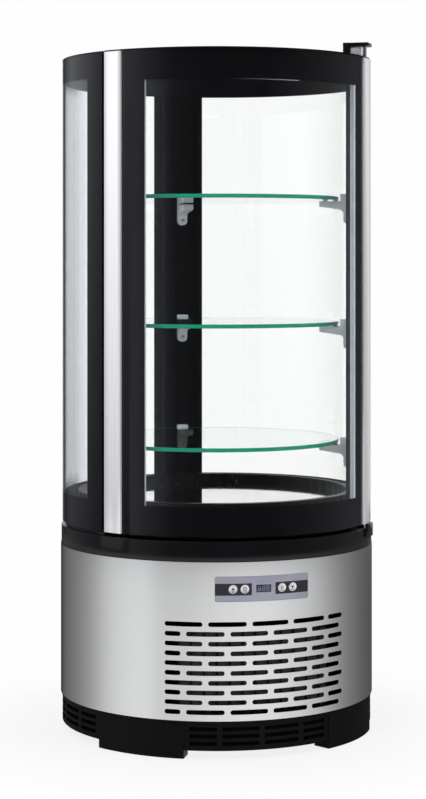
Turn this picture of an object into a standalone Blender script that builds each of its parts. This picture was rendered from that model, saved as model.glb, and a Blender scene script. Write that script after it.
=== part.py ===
"""A round refrigerated display case with a curved glass door.

Metres, +Z up, the floor at z = 0 and the case's centre line on the Z axis. The front is at -Y and the
door's hinge is on the +X side. Angles are measured about the centre line from the front, positive
towards the hinge side, and a piece built at angle 0 is turned to its place.
"""

from math import ceil, cos, floor, pi, radians, sin, sqrt

import bmesh
import bpy
from mathutils import Matrix, Vector

# Fits
CLEARANCE = 0.0003
BORE_CLEARANCE = 0.0003

# Facets of the large turned pieces, which all share one grid of angles
FACET = radians(6.0)
SHARP_ANGLE = radians(30.0)

# The glass's outer radius, and how far the other turned pieces lie from it
GLASS_RADIUS = 0.223
PANEL_PROUD = 0.002
RING_SETBACK = 0.0008
PLINTH_SETBACK = 0.0015
DOOR_DEPTH = 0.018
GASKET_GAP = 0.005

# Heights, each one from the piece below it
PLINTH_BOTTOM = 0.0112
PLINTH_HEIGHT = 0.0403
PANEL_HEIGHT = 0.2135
RING_HEIGHT = 0.0275
DOOR_GAP = 0.0055
GLASS_HEIGHT = 0.659
SILL_RISE = 0.043
TOP_PANEL_THICKNESS = 0.033

# Plinth and chassis
PLINTH_WALL = 0.0032
PLINTH_RECESS = 0.0008
PLINTH_BAND = 0.005
PLINTH_FLANGE_WIDTH = 0.020
PLINTH_FLANGE = 0.003
PLINTH_RIM = 0.0085
FOOT_ANGLE = radians(45.0)
FOOT_HALF_ANGLE = radians(17.5)
FOOT_DEPTH = 0.027
CHASSIS_THICKNESS = 0.002
PLINTH_SLOT_ROWS = 3
PLINTH_SLOT_PITCH = 0.0098
PLINTH_SLOT_HEIGHT = 0.0052
PLINTH_SLOT_STEP = radians(15.0)
PLINTH_DIVIDER = radians(2.0)

# Panels of the machine base
PANEL_THICKNESS = 0.0012
PANEL_HALF_ANGLE = radians(94.0)
GRILLE_HALF_ANGLE = radians(34.2)
GRILLE_ROWS = 10
GRILLE_PITCH = 0.01315
GRILLE_RISE = 0.0118
SLOT_HEIGHT = 0.0065
SLOT_ANGLE = radians(13.3)
SLOT_BRIDGE = radians(1.95)
SLOT_END_FACETS = 2
REAR_VENT_ROWS = 5
REAR_VENT_RISE = 0.0915
REAR_VENT_COLUMNS = 3

# Base ring
RING_WALL = 0.004
RING_SKIRT = 0.012
RING_EDGE = 0.002
SILL_WIDTH = 0.012
FLOOR_LEDGE_WIDTH = 0.012
FLOOR_DROP = 0.0118
FLOOR_THICKNESS = 0.0012

# Tub under the display floor
TUB_WALL = 0.015
TUB_DROP = 0.055
TUB_FLOOR = 0.016
DRAIN_RADIUS = 0.006
FLOOR_SLOTS = 6
FLOOR_SLOT_LENGTH = 0.020
FLOOR_SLOT_WIDTH = 0.006
FLOOR_SLOT_STEP = radians(11.0)
FLOOR_SLOT_MARGIN = 0.011

# Machinery in the base
CONDENSER_HALF_WIDTH = 0.105
CONDENSER_GAP = 0.0094
CONDENSER_DEPTH = 0.022
CONDENSER_HEIGHT = 0.148
CONDENSER_FINS = 12
FIN_DEPTH = 0.006
SHROUD_THICKNESS = 0.004
COLLAR_LENGTH = 0.014
COLLAR_WALL = 0.003
FAN_RISE = 0.0755
FAN_RADIUS = 0.063
FAN_TIP_GAP = 0.003
FAN_HUB_RADIUS = 0.016
FAN_HUB_LENGTH = 0.016
FAN_BLADES = 5
FAN_SETBACK = 0.004
MOTOR_RADIUS = 0.030
MOTOR_LENGTH = 0.043
MOTOR_SHAFT_RADIUS = 0.003
MOTOR_GAP = 0.008
STRAP_THICKNESS = 0.003
STRAP_HALF_HEIGHT = 0.008
STRAP_REACH = 0.078
STRAP_LEG = 0.006
COMPRESSOR_PLACE = Vector((-0.075, 0.070, 0.0))
COMPRESSOR_RADIUS = 0.060
COMPRESSOR_HEIGHT = 0.141
TRAY_ANGLE = radians(39.6)
TRAY_GAP = 0.0313
TRAY_SIZE = Vector((0.110, 0.100, 0.030))
TRAY_WALL = 0.002
LINE_RADIUS = 0.004
DRIER_RADIUS = 0.009
DRIER_LENGTH = 0.020
LINE_BEND = 0.015
EVAPORATOR_HALF_WIDTH = 0.110
EVAPORATOR_FRONT = -0.060
EVAPORATOR_DEPTH = 0.110
EVAPORATOR_HEIGHT = 0.064
EVAPORATOR_FINS = 14
SMALL_FAN_HEIGHT = 0.042
SMALL_FAN_PLACE = 0.082
SMALL_FAN_RADIUS = 0.036
SMALL_HUB_RADIUS = 0.010
SMALL_HUB_LENGTH = 0.013
SMALL_MOTOR_RADIUS = 0.020
SMALL_MOTOR_LENGTH = 0.028
SMALL_SHAFT_RADIUS = 0.0025
SMALL_STAND_HALF_WIDTH = 0.012

# Controls
CONTROL_ANGLE = radians(0.4)
CONTROL_HALF_ANGLE = radians(17.0)
CONTROL_DROP = 0.036
CONTROL_HALF_HEIGHT = 0.01675
CONTROL_THICKNESS = 0.0014
BUTTON_ANGLES = (radians(-10.8), radians(-6.7), radians(6.7), radians(10.8))
BUTTON_RADIUS = 0.006
BUTTON_PROUD = 0.0009
BUTTON_TRAVEL = 0.0008
BUTTON_FLANGE = 0.0012
BUTTON_FLANGE_WIDTH = 0.0013
BUTTON_STEM_RADIUS = 0.002
DISPLAY_HALF_WIDTH = 0.0103
DISPLAY_HALF_HEIGHT = 0.0048
DISPLAY_RECESS = 0.0004
BOARD_MARGIN = 0.003
BOARD_HALF_HEIGHT = 0.013
BOARD_SETBACK = 0.0116
BOARD_THICKNESS = 0.0016
PILLAR_RADIUS = 0.003
PILLAR_GAP = 0.0015
INLET_HALF_WIDTH = 0.0125
INLET_HALF_HEIGHT = 0.0085
INLET_RISE = 0.0335
INLET_DEPTH = 0.020
INLET_WALL = 0.0025
INLET_PIN_LENGTH = 0.008
INLET_FLANGE = 0.006

# Posts
POST_FRONT_DEPTH = 0.004
POST_FRONT_ANGLE = radians(53.5)
POST_BACK_ANGLE = radians(69.0)
REAR_POST_HALF_ANGLE = radians(8.0)

# Glazing
PANE_THICKNESS = 0.004
PANE_GAP = 0.006
SPACER_WIDTH = 0.0075
REAR_GLASS_ANGLE = radians(61.0)
REAR_SEAM_ANGLE = radians(179.8)

# Roof and lamp
ROOF_THICKNESS = 0.0015
ROOF_FRONT_ANGLE = radians(60.6)
LAMP_SETBACK = 0.009
LAMP_WIDTH = 0.007
LAMP_DEPTH = 0.005
LAMP_HALF_ANGLE = radians(21.0)

# Shelves
SHELF_MARGIN = 0.019
SHELF_THICKNESS = 0.0055
LOWEST_SHELF_RISE = 0.0793
MIDDLE_SHELF_RISE = 0.1692
HIGHEST_SHELF_RISE = 0.1789
BRACKET_ANGLES = {"left": radians(-60.0), "right": radians(60.0), "rear": radians(180.0)}
BRACKET_OVERLAP = 0.024
BRACKET_TIP_DEPTH = 0.0075
BRACKET_SLOPE = 0.0045
BRACKET_DROP = 0.031
BRACKET_LEG_DEPTH = 0.0075
BRACKET_FILLET = 0.007
BRACKET_TAB_RISE = 0.0033
BRACKET_WIDTH = 0.0145
BRACKET_PAD_HEIGHT = 0.0012
BRACKET_PAD_LENGTH = 0.006
BRACKET_CURVE_POINTS = 6
SHELF_EDGE_GAP = 0.006

# Door
STRIP_INNER_ANGLE = radians(51.55)
HANDLE_OUTER_ANGLE = radians(59.2)
HINGE_OUTER_ANGLE = radians(59.3)
STRIP_PROUD = 0.003
DOOR_OPENING_ANGLE = radians(45.5)
DOOR_BOTTOM_BORDER = 0.020
DOOR_TOP_BORDER = 0.018
FINGER_RECESS_ANGLE = radians(56.8)
HANDLE_LIP = 0.006
GASKET_OUTER_ANGLE = radians(56.5)
GASKET_WIDTH_ANGLE = radians(4.0)
GASKET_BOTTOM_MARGIN = 0.006
GASKET_TOP_MARGIN = 0.004
GASKET_WIDTH = 0.010

# Hinge
HINGE_ANGLE = radians(57.5)
HINGE_INSET = 0.0035
HINGE_PIN_RADIUS = 0.003
HINGE_PIN_ENGAGEMENT = 0.014
HINGE_END_PLAY = 0.002
TOP_BRACKET_FOOT = 0.0115
TOP_BRACKET_HEIGHT = 0.0205
TOP_BRACKET_PLATE = 0.0061
TOP_BRACKET_HALF_WIDTH = 0.013
TOP_PIN_SEAT = 0.004
BOTTOM_BRACKET_PLATE = 0.003
BOTTOM_BRACKET_DROP = 0.0063
BOTTOM_BRACKET_LENGTH = 0.023
BOTTOM_BRACKET_HALF_WIDTH = 0.012
BOTTOM_LIP_WALL = 0.0027
BOTTOM_LIP_DROP = 0.0042
BUSH_RADIUS = 0.0065

# Radii that follow from the ones above
PANEL_RADIUS = GLASS_RADIUS + PANEL_PROUD
RING_RADIUS = PANEL_RADIUS - RING_SETBACK
PLINTH_RADIUS = PANEL_RADIUS - PLINTH_SETBACK
DOOR_INNER_RADIUS = GLASS_RADIUS - DOOR_DEPTH
SILL_OUTER_RADIUS = DOOR_INNER_RADIUS - GASKET_GAP
PLINTH_INNER_RADIUS = PLINTH_RADIUS - PLINTH_RECESS - PLINTH_WALL
PANEL_INNER_RADIUS = PANEL_RADIUS - PANEL_THICKNESS
SKIRT_RADIUS = PANEL_INNER_RADIUS - CLEARANCE
SKIRT_INNER_RADIUS = SKIRT_RADIUS - RING_WALL
SILL_INNER_RADIUS = SILL_OUTER_RADIUS - SILL_WIDTH
POST_INNER_RADIUS = SILL_OUTER_RADIUS - POST_FRONT_DEPTH
SHELF_RADIUS = POST_INNER_RADIUS - SHELF_MARGIN
BRACKET_TIP_RADIUS = SHELF_RADIUS - BRACKET_OVERLAP
LAMP_OUTER_RADIUS = SILL_OUTER_RADIUS - LAMP_SETBACK
LEDGE_RADIUS = SILL_INNER_RADIUS - FLOOR_LEDGE_WIDTH
FLOOR_SLOT_RADIUS = LEDGE_RADIUS - FLOOR_SLOT_MARGIN - FLOOR_SLOT_LENGTH
HINGE_RADIUS = GLASS_RADIUS - HINGE_INSET
BRACKET_REACH = HINGE_RADIUS + BUSH_RADIUS + CLEARANCE + BOTTOM_LIP_WALL
BOTTOM_BRACKET_INNER_RADIUS = BRACKET_REACH - BOTTOM_BRACKET_LENGTH

# Heights above the floor
PANEL_BOTTOM = PLINTH_BOTTOM + PLINTH_HEIGHT
PANEL_TOP = PANEL_BOTTOM + PANEL_HEIGHT
RING_TOP = PANEL_TOP + RING_HEIGHT
DOOR_BOTTOM = RING_TOP + DOOR_GAP
GLASS_TOP = DOOR_BOTTOM + GLASS_HEIGHT
SILL_TOP = DOOR_BOTTOM + SILL_RISE
CEILING = GLASS_TOP - TOP_PANEL_THICKNESS
FLOOR_TOP = SILL_TOP - FLOOR_DROP
TUB_BOTTOM = PANEL_TOP - TUB_DROP
GRILLE_LOWEST = PANEL_BOTTOM + GRILLE_RISE
REAR_VENT_LOWEST = PANEL_BOTTOM + REAR_VENT_RISE
INLET_HEIGHT = PANEL_BOTTOM + INLET_RISE
CONTROL_HEIGHT = PANEL_TOP - CONTROL_DROP
CHASSIS_TOP = PLINTH_BOTTOM + PLINTH_FLANGE + CLEARANCE + CHASSIS_THICKNESS
FAN_CENTRE_HEIGHT = CHASSIS_TOP + FAN_RISE
PLINTH_TOP = PANEL_BOTTOM + PLINTH_RIM
DOOR_OPENING_BOTTOM = DOOR_BOTTOM + DOOR_BOTTOM_BORDER
DOOR_OPENING_TOP = GLASS_TOP - DOOR_TOP_BORDER
GASKET_BOTTOM = DOOR_BOTTOM + GASKET_BOTTOM_MARGIN
GASKET_TOP = GLASS_TOP - GASKET_TOP_MARGIN
BOTTOM_BRACKET_TOP = RING_TOP - BOTTOM_BRACKET_DROP
LOWEST_SHELF = FLOOR_TOP + LOWEST_SHELF_RISE
MIDDLE_SHELF = LOWEST_SHELF + MIDDLE_SHELF_RISE
SHELF_UNDERSIDES = (LOWEST_SHELF, MIDDLE_SHELF, MIDDLE_SHELF + HIGHEST_SHELF_RISE)

# Other sizes that follow
CONDENSER_CORNER = PLINTH_INNER_RADIUS - CONDENSER_GAP
CONDENSER_FRONT = -sqrt(CONDENSER_CORNER * CONDENSER_CORNER - CONDENSER_HALF_WIDTH * CONDENSER_HALF_WIDTH)
TRAY_REACH = PLINTH_INNER_RADIUS - TRAY_GAP
TRAY_CORNER = Vector((
    TRAY_REACH * cos(TRAY_ANGLE) - TRAY_SIZE.x,
    TRAY_REACH * sin(TRAY_ANGLE) - TRAY_SIZE.y,
    0.0,
))
LEDGE_TOP = FLOOR_TOP - FLOOR_THICKNESS - CLEARANCE
LEDGE_BOTTOM = LEDGE_TOP - 0.75 * RING_WALL
RING_CORE_RADIUS = SILL_OUTER_RADIUS - 0.9 * RING_WALL
TUB_RADIUS = RING_CORE_RADIUS - CLEARANCE
TUB_INNER_RADIUS = TUB_RADIUS - TUB_WALL
TUB_TOP = LEDGE_BOTTOM - CLEARANCE
TUB_INSIDE = TUB_BOTTOM + TUB_FLOOR
OUTER_PANE_INNER = GLASS_RADIUS - PANE_THICKNESS
INNER_PANE_OUTER = OUTER_PANE_INNER - PANE_GAP
INNER_PANE_INNER = INNER_PANE_OUTER - PANE_THICKNESS
SPACER_OUTER = OUTER_PANE_INNER - CLEARANCE
SPACER_INNER = INNER_PANE_OUTER + CLEARANCE
POST_OUTER_RADIUS = INNER_PANE_INNER - CLEARANCE
ROOF_BOTTOM = GLASS_TOP + CLEARANCE
ROOF_TOP = ROOF_BOTTOM + ROOF_THICKNESS
STRIP_RADIUS = GLASS_RADIUS + STRIP_PROUD
DOOR_PANE_ANGLE = STRIP_INNER_ANGLE - CLEARANCE / OUTER_PANE_INNER
SHROUD_FRONT = CONDENSER_FRONT + CONDENSER_DEPTH + CLEARANCE
SHROUD_BACK = SHROUD_FRONT + SHROUD_THICKNESS
FAN_FRONT = SHROUD_BACK + FAN_SETBACK
MOTOR_FRONT = FAN_FRONT + FAN_HUB_LENGTH + MOTOR_GAP
SMALL_FAN_CENTRE_HEIGHT = TUB_INSIDE + SMALL_FAN_HEIGHT
SMALL_MOTOR_FRONT = SMALL_FAN_PLACE + SMALL_HUB_LENGTH + 0.4 * MOTOR_GAP
LINE_HOLE_RADIUS = LINE_RADIUS + 3 * CLEARANCE
DRAIN_PLACE = TRAY_CORNER + 0.4 * TRAY_SIZE
BUTTON_REACH = PANEL_RADIUS * sin(max(BUTTON_ANGLES)) + BUTTON_RADIUS + BUTTON_FLANGE_WIDTH
PILLAR_OFFSET = BUTTON_REACH + PILLAR_GAP + PILLAR_RADIUS
BOARD_HALF_WIDTH = PILLAR_OFFSET + PILLAR_RADIUS + BOARD_MARGIN
HINGE_PLACE = Vector((HINGE_RADIUS * sin(HINGE_ANGLE), -HINGE_RADIUS * cos(HINGE_ANGLE), 0.0))


def polar(radius, angle, height=0.0):
    """The point at an angle from the front, measured towards the hinge side."""
    return Vector((radius * sin(angle), -radius * cos(angle), height))


def on_facets(radius, angle, height=0.0):
    """The point on the faceted circle, whose corners are on the shared grid of angles."""
    return polar(radius * cos(FACET / 2) / cos(angle % FACET - FACET / 2), angle, height)


def arc_angles(start, end):
    """Angles from start to end, on the grid of facets that all turned pieces share."""
    first = floor(start / FACET + 0.01) + 1
    last = ceil(end / FACET - 0.01) - 1
    return [start, *(step * FACET for step in range(first, last + 1)), end]


def add_turned(bm, outline, start=0.0, end=2 * pi):
    """Solid of a closed outline of (radius, height) points turned about the centre line."""
    angles = arc_angles(start, end)
    is_full = end - start > 2 * pi - 0.5 * FACET
    if is_full:
        angles.pop()
    rows = [[bm.verts.new(on_facets(r, angle, z)) for r, z in outline] for angle in angles]
    pairs = list(zip(rows, rows[1:]))
    if is_full:
        pairs.append((rows[-1], rows[0]))
    else:
        bm.faces.new(rows[0])
        bm.faces.new(rows[-1])
    for row, following in pairs:
        for i in range(len(outline)):
            bm.faces.new((row[i - 1], row[i], following[i], following[i - 1]))


def add_lathed(bm, outline, segments, matrix=None):
    """Solid of an open outline of (radius, height) points turned about its own Z axis."""
    matrix = matrix or Matrix()
    rows = []
    for step in range(segments):
        turn = Matrix.Rotation(2 * pi * step / segments, 4, "Z")
        rows.append([bm.verts.new(matrix @ turn @ Vector((r, 0.0, z))) for r, z in outline])
    for row, following in zip(rows, rows[1:] + rows[:1]):
        for i in range(1, len(outline)):
            bm.faces.new((row[i - 1], row[i], following[i], following[i - 1]))
    bmesh.ops.remove_doubles(bm, verts=bm.verts, dist=1e-6)


def add_prism(bm, points, along):
    """Solid between a flat outline and its copy moved by a vector."""
    near = [bm.verts.new(point) for point in points]
    far = [bm.verts.new(Vector(point) + Vector(along)) for point in points]
    bm.faces.new(near)
    bm.faces.new(far)
    for i in range(len(points)):
        bm.faces.new((near[i - 1], near[i], far[i], far[i - 1]))


def add_block(bm, low, high):
    """Box between two corners."""
    low, high = Vector(low), Vector(high)
    corners = [low, (high.x, low.y, low.z), (high.x, high.y, low.z), (low.x, high.y, low.z)]
    add_prism(bm, corners, (0.0, 0.0, high.z - low.z))


def add_cylinder(bm, radius, start, along, segments=16):
    """Cylinder from a point along a vector."""
    along = Vector(along)
    matrix = Matrix.Translation(Vector(start)) @ along.to_track_quat("Z", "Y").to_matrix().to_4x4()
    length = along.length
    add_lathed(bm, [(0.0, 0.0), (radius, 0.0), (radius, length), (0.0, length)], segments, matrix)


def polar_points(corners, height):
    """Outline through (radius, angle) corners, with arcs where two corners share a radius."""
    points = []
    for (radius, angle), (next_radius, next_angle) in zip(corners, corners[1:] + corners[:1]):
        points.append(on_facets(radius, angle, height))
        if radius == next_radius:
            between = arc_angles(*sorted((angle, next_angle)))[1:-1]
            if angle > next_angle:
                between.reverse()
            points += [polar(radius, middle, height) for middle in between]
    return points


def add_curved_plate(bm, inner, outer, angles, heights, window=None):
    """Curved plate between two radii, with an optional window of (angles, heights)."""
    sides = set(arc_angles(*angles))
    levels = set(heights)
    if window:
        sides |= set(window[0])
        levels |= set(window[1])
    sides, levels = sorted(sides), sorted(levels)

    def is_solid(i, j):
        if not (0 <= i < len(sides) - 1 and 0 <= j < len(levels) - 1):
            return False
        if window is None:
            return True
        (left, right), (low, high) = window
        in_width = left <= sides[i] and sides[i + 1] <= right
        return not (in_width and low <= levels[j] and levels[j + 1] <= high)

    made = {}

    def vert(radius, i, j):
        if (radius, i, j) not in made:
            made[radius, i, j] = bm.verts.new(on_facets(radius, sides[i], levels[j]))
        return made[radius, i, j]

    for i in range(len(sides) - 1):
        for j in range(len(levels) - 1):
            if not is_solid(i, j):
                continue
            ring = [(i, j), (i + 1, j), (i + 1, j + 1), (i, j + 1)]
            for radius in (inner, outer):
                bm.faces.new([vert(radius, *corner) for corner in ring])
            beyond = [(i, j - 1), (i + 1, j), (i, j + 1), (i - 1, j)]
            for side, neighbour in enumerate(beyond):
                if not is_solid(*neighbour):
                    a, b = ring[side], ring[(side + 1) % 4]
                    bm.faces.new((vert(inner, *a), vert(inner, *b), vert(outer, *b), vert(outer, *a)))


def finish(name, colour, roughness, metallic=0.0, transmission=0.0):
    """Principled material."""
    material = bpy.data.materials.new(name)
    material.use_nodes = True
    shader = material.node_tree.nodes["Principled BSDF"]
    shader.inputs["Base Color"].default_value = (*colour, 1.0)
    shader.inputs["Roughness"].default_value = roughness
    shader.inputs["Metallic"].default_value = metallic
    shader.inputs["Transmission Weight"].default_value = transmission
    return material


def mesh_from(name, bm, material):
    """Mesh with outward faces, smooth over its round stretches."""
    bmesh.ops.recalc_face_normals(bm, faces=bm.faces)
    mesh = bpy.data.meshes.new(name)
    bm.to_mesh(mesh)
    bm.free()
    mesh.materials.append(material)
    mesh.shade_smooth()
    mesh.set_sharp_from_angle(angle=SHARP_ANGLE)
    return mesh


def place(name, mesh, parent=None, location=(0.0, 0.0, 0.0), turn=0.0):
    """Object of a mesh, turned about the vertical."""
    obj = bpy.data.objects.new(name, mesh)
    bpy.context.scene.collection.objects.link(obj)
    obj.parent = parent
    obj.location = location
    obj.rotation_euler = (0.0, 0.0, turn)
    return obj


def add_part(name, bm, material, **placing):
    """Object made from a bmesh."""
    return place(name, mesh_from(name, bm, material), **placing)


def combine(obj, bm, operation):
    """Boolean of a piece with a hidden tool shape that is made in the piece's own space."""
    kind = {"DIFFERENCE": "cutter", "UNION": "addition"}[operation]
    tool = add_part(f"{obj.name}_{kind}", bm, obj.data.materials[0], parent=obj)
    tool.hide_render = True
    tool.display_type = "WIRE"
    modifier = obj.modifiers.new(kind, "BOOLEAN")
    modifier.operation = operation
    modifier.solver = "EXACT"
    modifier.object = tool
    return tool


for old in list(bpy.data.objects):
    bpy.data.objects.remove(old)

BLACK_PLASTIC = finish("black_plastic", (0.015, 0.015, 0.017), 0.45)
BLACK_GLOSS = finish("black_gloss", (0.012, 0.012, 0.014), 0.18)
BLACK_STEEL = finish("black_steel", (0.018, 0.018, 0.020), 0.40)
BRUSHED_STEEL = finish("brushed_steel", (0.62, 0.62, 0.63), 0.32, metallic=1.0)
POLISHED_STEEL = finish("polished_steel", (0.78, 0.78, 0.79), 0.06, metallic=1.0)
ZINC_STEEL = finish("zinc_steel", (0.55, 0.56, 0.57), 0.38, metallic=1.0)
ALUMINIUM = finish("aluminium", (0.80, 0.80, 0.81), 0.35, metallic=1.0)
CHROME = finish("chrome", (0.85, 0.85, 0.86), 0.08, metallic=1.0)
CAST_ZINC = finish("cast_zinc", (0.58, 0.59, 0.60), 0.42, metallic=0.6)
COPPER = finish("copper", (0.72, 0.36, 0.22), 0.30, metallic=1.0)
CLEAR_GLASS = finish("clear_glass", (0.97, 0.99, 0.98), 0.02, transmission=1.0)
SHELF_GLASS = finish("shelf_glass", (0.80, 0.95, 0.90), 0.02, transmission=1.0)
RUBBER = finish("rubber", (0.02, 0.02, 0.02), 0.75)
GREY_OVERLAY = finish("grey_overlay", (0.30, 0.30, 0.36), 0.35)
DARK_WINDOW = finish("dark_window", (0.02, 0.02, 0.04), 0.10)
SILVER_BUTTON = finish("silver_button", (0.72, 0.72, 0.74), 0.30, metallic=0.8)
WHITE_FOAM = finish("white_foam", (0.80, 0.80, 0.78), 0.70)
BOARD_GREEN = finish("board_green", (0.03, 0.16, 0.08), 0.50)
LAMP_COVER = finish("lamp_cover", (0.90, 0.92, 0.92), 0.30)


# Plinth: a moulded ring with an inner flange, four broad feet and rows of air slots between them
def build_plinth():
    wall_radius = PLINTH_RADIUS - PLINTH_RECESS
    flange_radius = PLINTH_INNER_RADIUS - PLINTH_FLANGE_WIDTH
    flange_top = PLINTH_BOTTOM + PLINTH_FLANGE
    band_bottom = PANEL_BOTTOM - PLINTH_BAND
    bm = bmesh.new()
    outline = [
        (flange_radius, PLINTH_BOTTOM),
        (wall_radius, PLINTH_BOTTOM),
        (wall_radius, band_bottom),
        (PLINTH_RADIUS, band_bottom + PLINTH_RECESS),
        (PLINTH_RADIUS, PLINTH_TOP),
        (PLINTH_INNER_RADIUS, PLINTH_TOP),
        (PLINTH_INNER_RADIUS, flange_top),
        (flange_radius, flange_top),
    ]
    add_turned(bm, outline)
    plinth = add_part("plinth", bm, BLACK_PLASTIC)
    foot_inner = PLINTH_RADIUS - FOOT_DEPTH
    face_inner = PLINTH_RADIUS - PLINTH_RECESS - PLINTH_WALL / 2
    block_top = PLINTH_BOTTOM + PLINTH_FLANGE / 2
    face_top = band_bottom + PLINTH_RECESS / 2
    outline = [
        (foot_inner, 0.0),
        (PLINTH_RADIUS, 0.0),
        (PLINTH_RADIUS, face_top),
        (face_inner, face_top),
        (face_inner, block_top),
        (foot_inner, block_top),
    ]
    feet = bmesh.new()
    for quarter in range(4):
        middle = FOOT_ANGLE + quarter * pi / 2
        add_turned(feet, outline, middle - FOOT_HALF_ANGLE, middle + FOOT_HALF_ANGLE)
    combine(plinth, feet, "UNION")
    combine(plinth, plinth_slots(), "DIFFERENCE")


def plinth_slots():
    bm = bmesh.new()
    half_gap = pi / 4 - FOOT_HALF_ANGLE - PLINTH_DIVIDER
    columns = int(pi / 2 / PLINTH_SLOT_STEP)
    for quarter in range(4):
        middle = quarter * pi / 2
        for column in range(columns):
            left = middle - pi / 4 + column * PLINTH_SLOT_STEP
            low = max(left + PLINTH_DIVIDER / 2, middle - half_gap)
            high = min(left + PLINTH_SLOT_STEP - PLINTH_DIVIDER / 2, middle + half_gap)
            if high - low < 2 * PLINTH_DIVIDER:
                continue
            corners = [(PLINTH_INNER_RADIUS - PLINTH_WALL, low), (PLINTH_RADIUS + PLINTH_WALL, low)]
            corners += [(radius, high) for radius, angle in reversed(corners)]
            for row in range(PLINTH_SLOT_ROWS):
                bottom = CHASSIS_TOP + PLINTH_SLOT_HEIGHT / 3 + row * PLINTH_SLOT_PITCH
                add_prism(bm, polar_points(corners, bottom), (0.0, 0.0, PLINTH_SLOT_HEIGHT))
    return bm


build_plinth()


# Chassis plate: lies on the plinth's flange and carries the machinery
def disc_points(radius, height):
    """Outline of a full disc about the centre line."""
    return [polar(radius, angle, height) for angle in arc_angles(0.0, 2 * pi)[:-1]]


bm = bmesh.new()
plate_points = disc_points(PLINTH_INNER_RADIUS - CLEARANCE, CHASSIS_TOP - CHASSIS_THICKNESS)
add_prism(bm, plate_points, (0.0, 0.0, CHASSIS_THICKNESS))
add_part("chassis_plate", bm, ZINC_STEEL)


# Front panel: rolled stainless sheet with the pressed grille and the opening for the controls
def build_front_panel():
    bm = bmesh.new()
    span = (-PANEL_HALF_ANGLE, PANEL_HALF_ANGLE)
    heights = (PANEL_BOTTOM, PANEL_TOP)
    half_angle = CONTROL_HALF_ANGLE + CLEARANCE / PANEL_RADIUS
    half_height = CONTROL_HALF_HEIGHT + CLEARANCE
    window_angles = (CONTROL_ANGLE - half_angle, CONTROL_ANGLE + half_angle)
    window_heights = (CONTROL_HEIGHT - half_height, CONTROL_HEIGHT + half_height)
    add_curved_plate(
        bm, PANEL_INNER_RADIUS, PANEL_RADIUS, span, heights, (window_angles, window_heights)
    )
    panel = add_part("front_panel", bm, BRUSHED_STEEL)
    slots = bmesh.new()
    for row in range(GRILLE_ROWS):
        height = GRILLE_LOWEST + (GRILLE_ROWS - 1 - row) * GRILLE_PITCH
        left = -GRILLE_HALF_ANGLE
        if row % 2:
            left -= (SLOT_ANGLE + SLOT_BRIDGE) / 2
        while left < GRILLE_HALF_ANGLE - 2 * SLOT_BRIDGE:
            low = max(left, -GRILLE_HALF_ANGLE)
            high = min(left + SLOT_ANGLE, GRILLE_HALF_ANGLE)
            add_slot(slots, (low + high) / 2, PANEL_RADIUS * sin((high - low) / 2), height)
            left += SLOT_ANGLE + SLOT_BRIDGE
    combine(panel, slots, "DIFFERENCE")


def add_slot(bm, angle, half_length, height, half_height=SLOT_HEIGHT / 2):
    """Cutter for one round-ended slot through a panel."""
    depth = 4 * PANEL_THICKNESS
    centre = half_length - half_height
    points = []
    for side in (1, -1):
        for step in range(SLOT_END_FACETS + 1):
            turn = pi / 2 - pi * step / SLOT_END_FACETS
            x = side * (centre + half_height * cos(turn))
            points.append(Vector((x, -PANEL_RADIUS - depth, height + side * half_height * sin(turn))))
    turn = Matrix.Rotation(angle, 4, "Z")
    add_prism(bm, [turn @ point for point in points], turn @ Vector((0.0, 3 * depth, 0.0)))


build_front_panel()


# Rear cover: black sheet around the back, with air slots and the hole for the mains inlet
def build_rear_cover():
    bm = bmesh.new()
    start = PANEL_HALF_ANGLE + CLEARANCE / PANEL_RADIUS
    half_inlet = (INLET_HALF_WIDTH + INLET_WALL + CLEARANCE) / PANEL_INNER_RADIUS
    inlet_reach = INLET_HALF_HEIGHT + INLET_WALL + CLEARANCE
    window = (
        (pi - half_inlet, pi + half_inlet),
        (INLET_HEIGHT - inlet_reach, INLET_HEIGHT + inlet_reach),
    )
    heights = (PANEL_BOTTOM, PANEL_TOP)
    add_curved_plate(bm, PANEL_INNER_RADIUS, PANEL_RADIUS, (start, 2 * pi - start), heights, window)
    cover = add_part("rear_cover", bm, BLACK_STEEL)
    slots = bmesh.new()
    for row in range(REAR_VENT_ROWS):
        height = REAR_VENT_LOWEST + row * GRILLE_PITCH
        for column in range(REAR_VENT_COLUMNS):
            offset = column - (REAR_VENT_COLUMNS - 1) / 2
            angle = pi + offset * (SLOT_ANGLE + SLOT_BRIDGE)
            add_slot(slots, angle, PANEL_RADIUS * sin(SLOT_ANGLE / 2), height)
    combine(cover, slots, "DIFFERENCE")


build_rear_cover()


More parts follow.
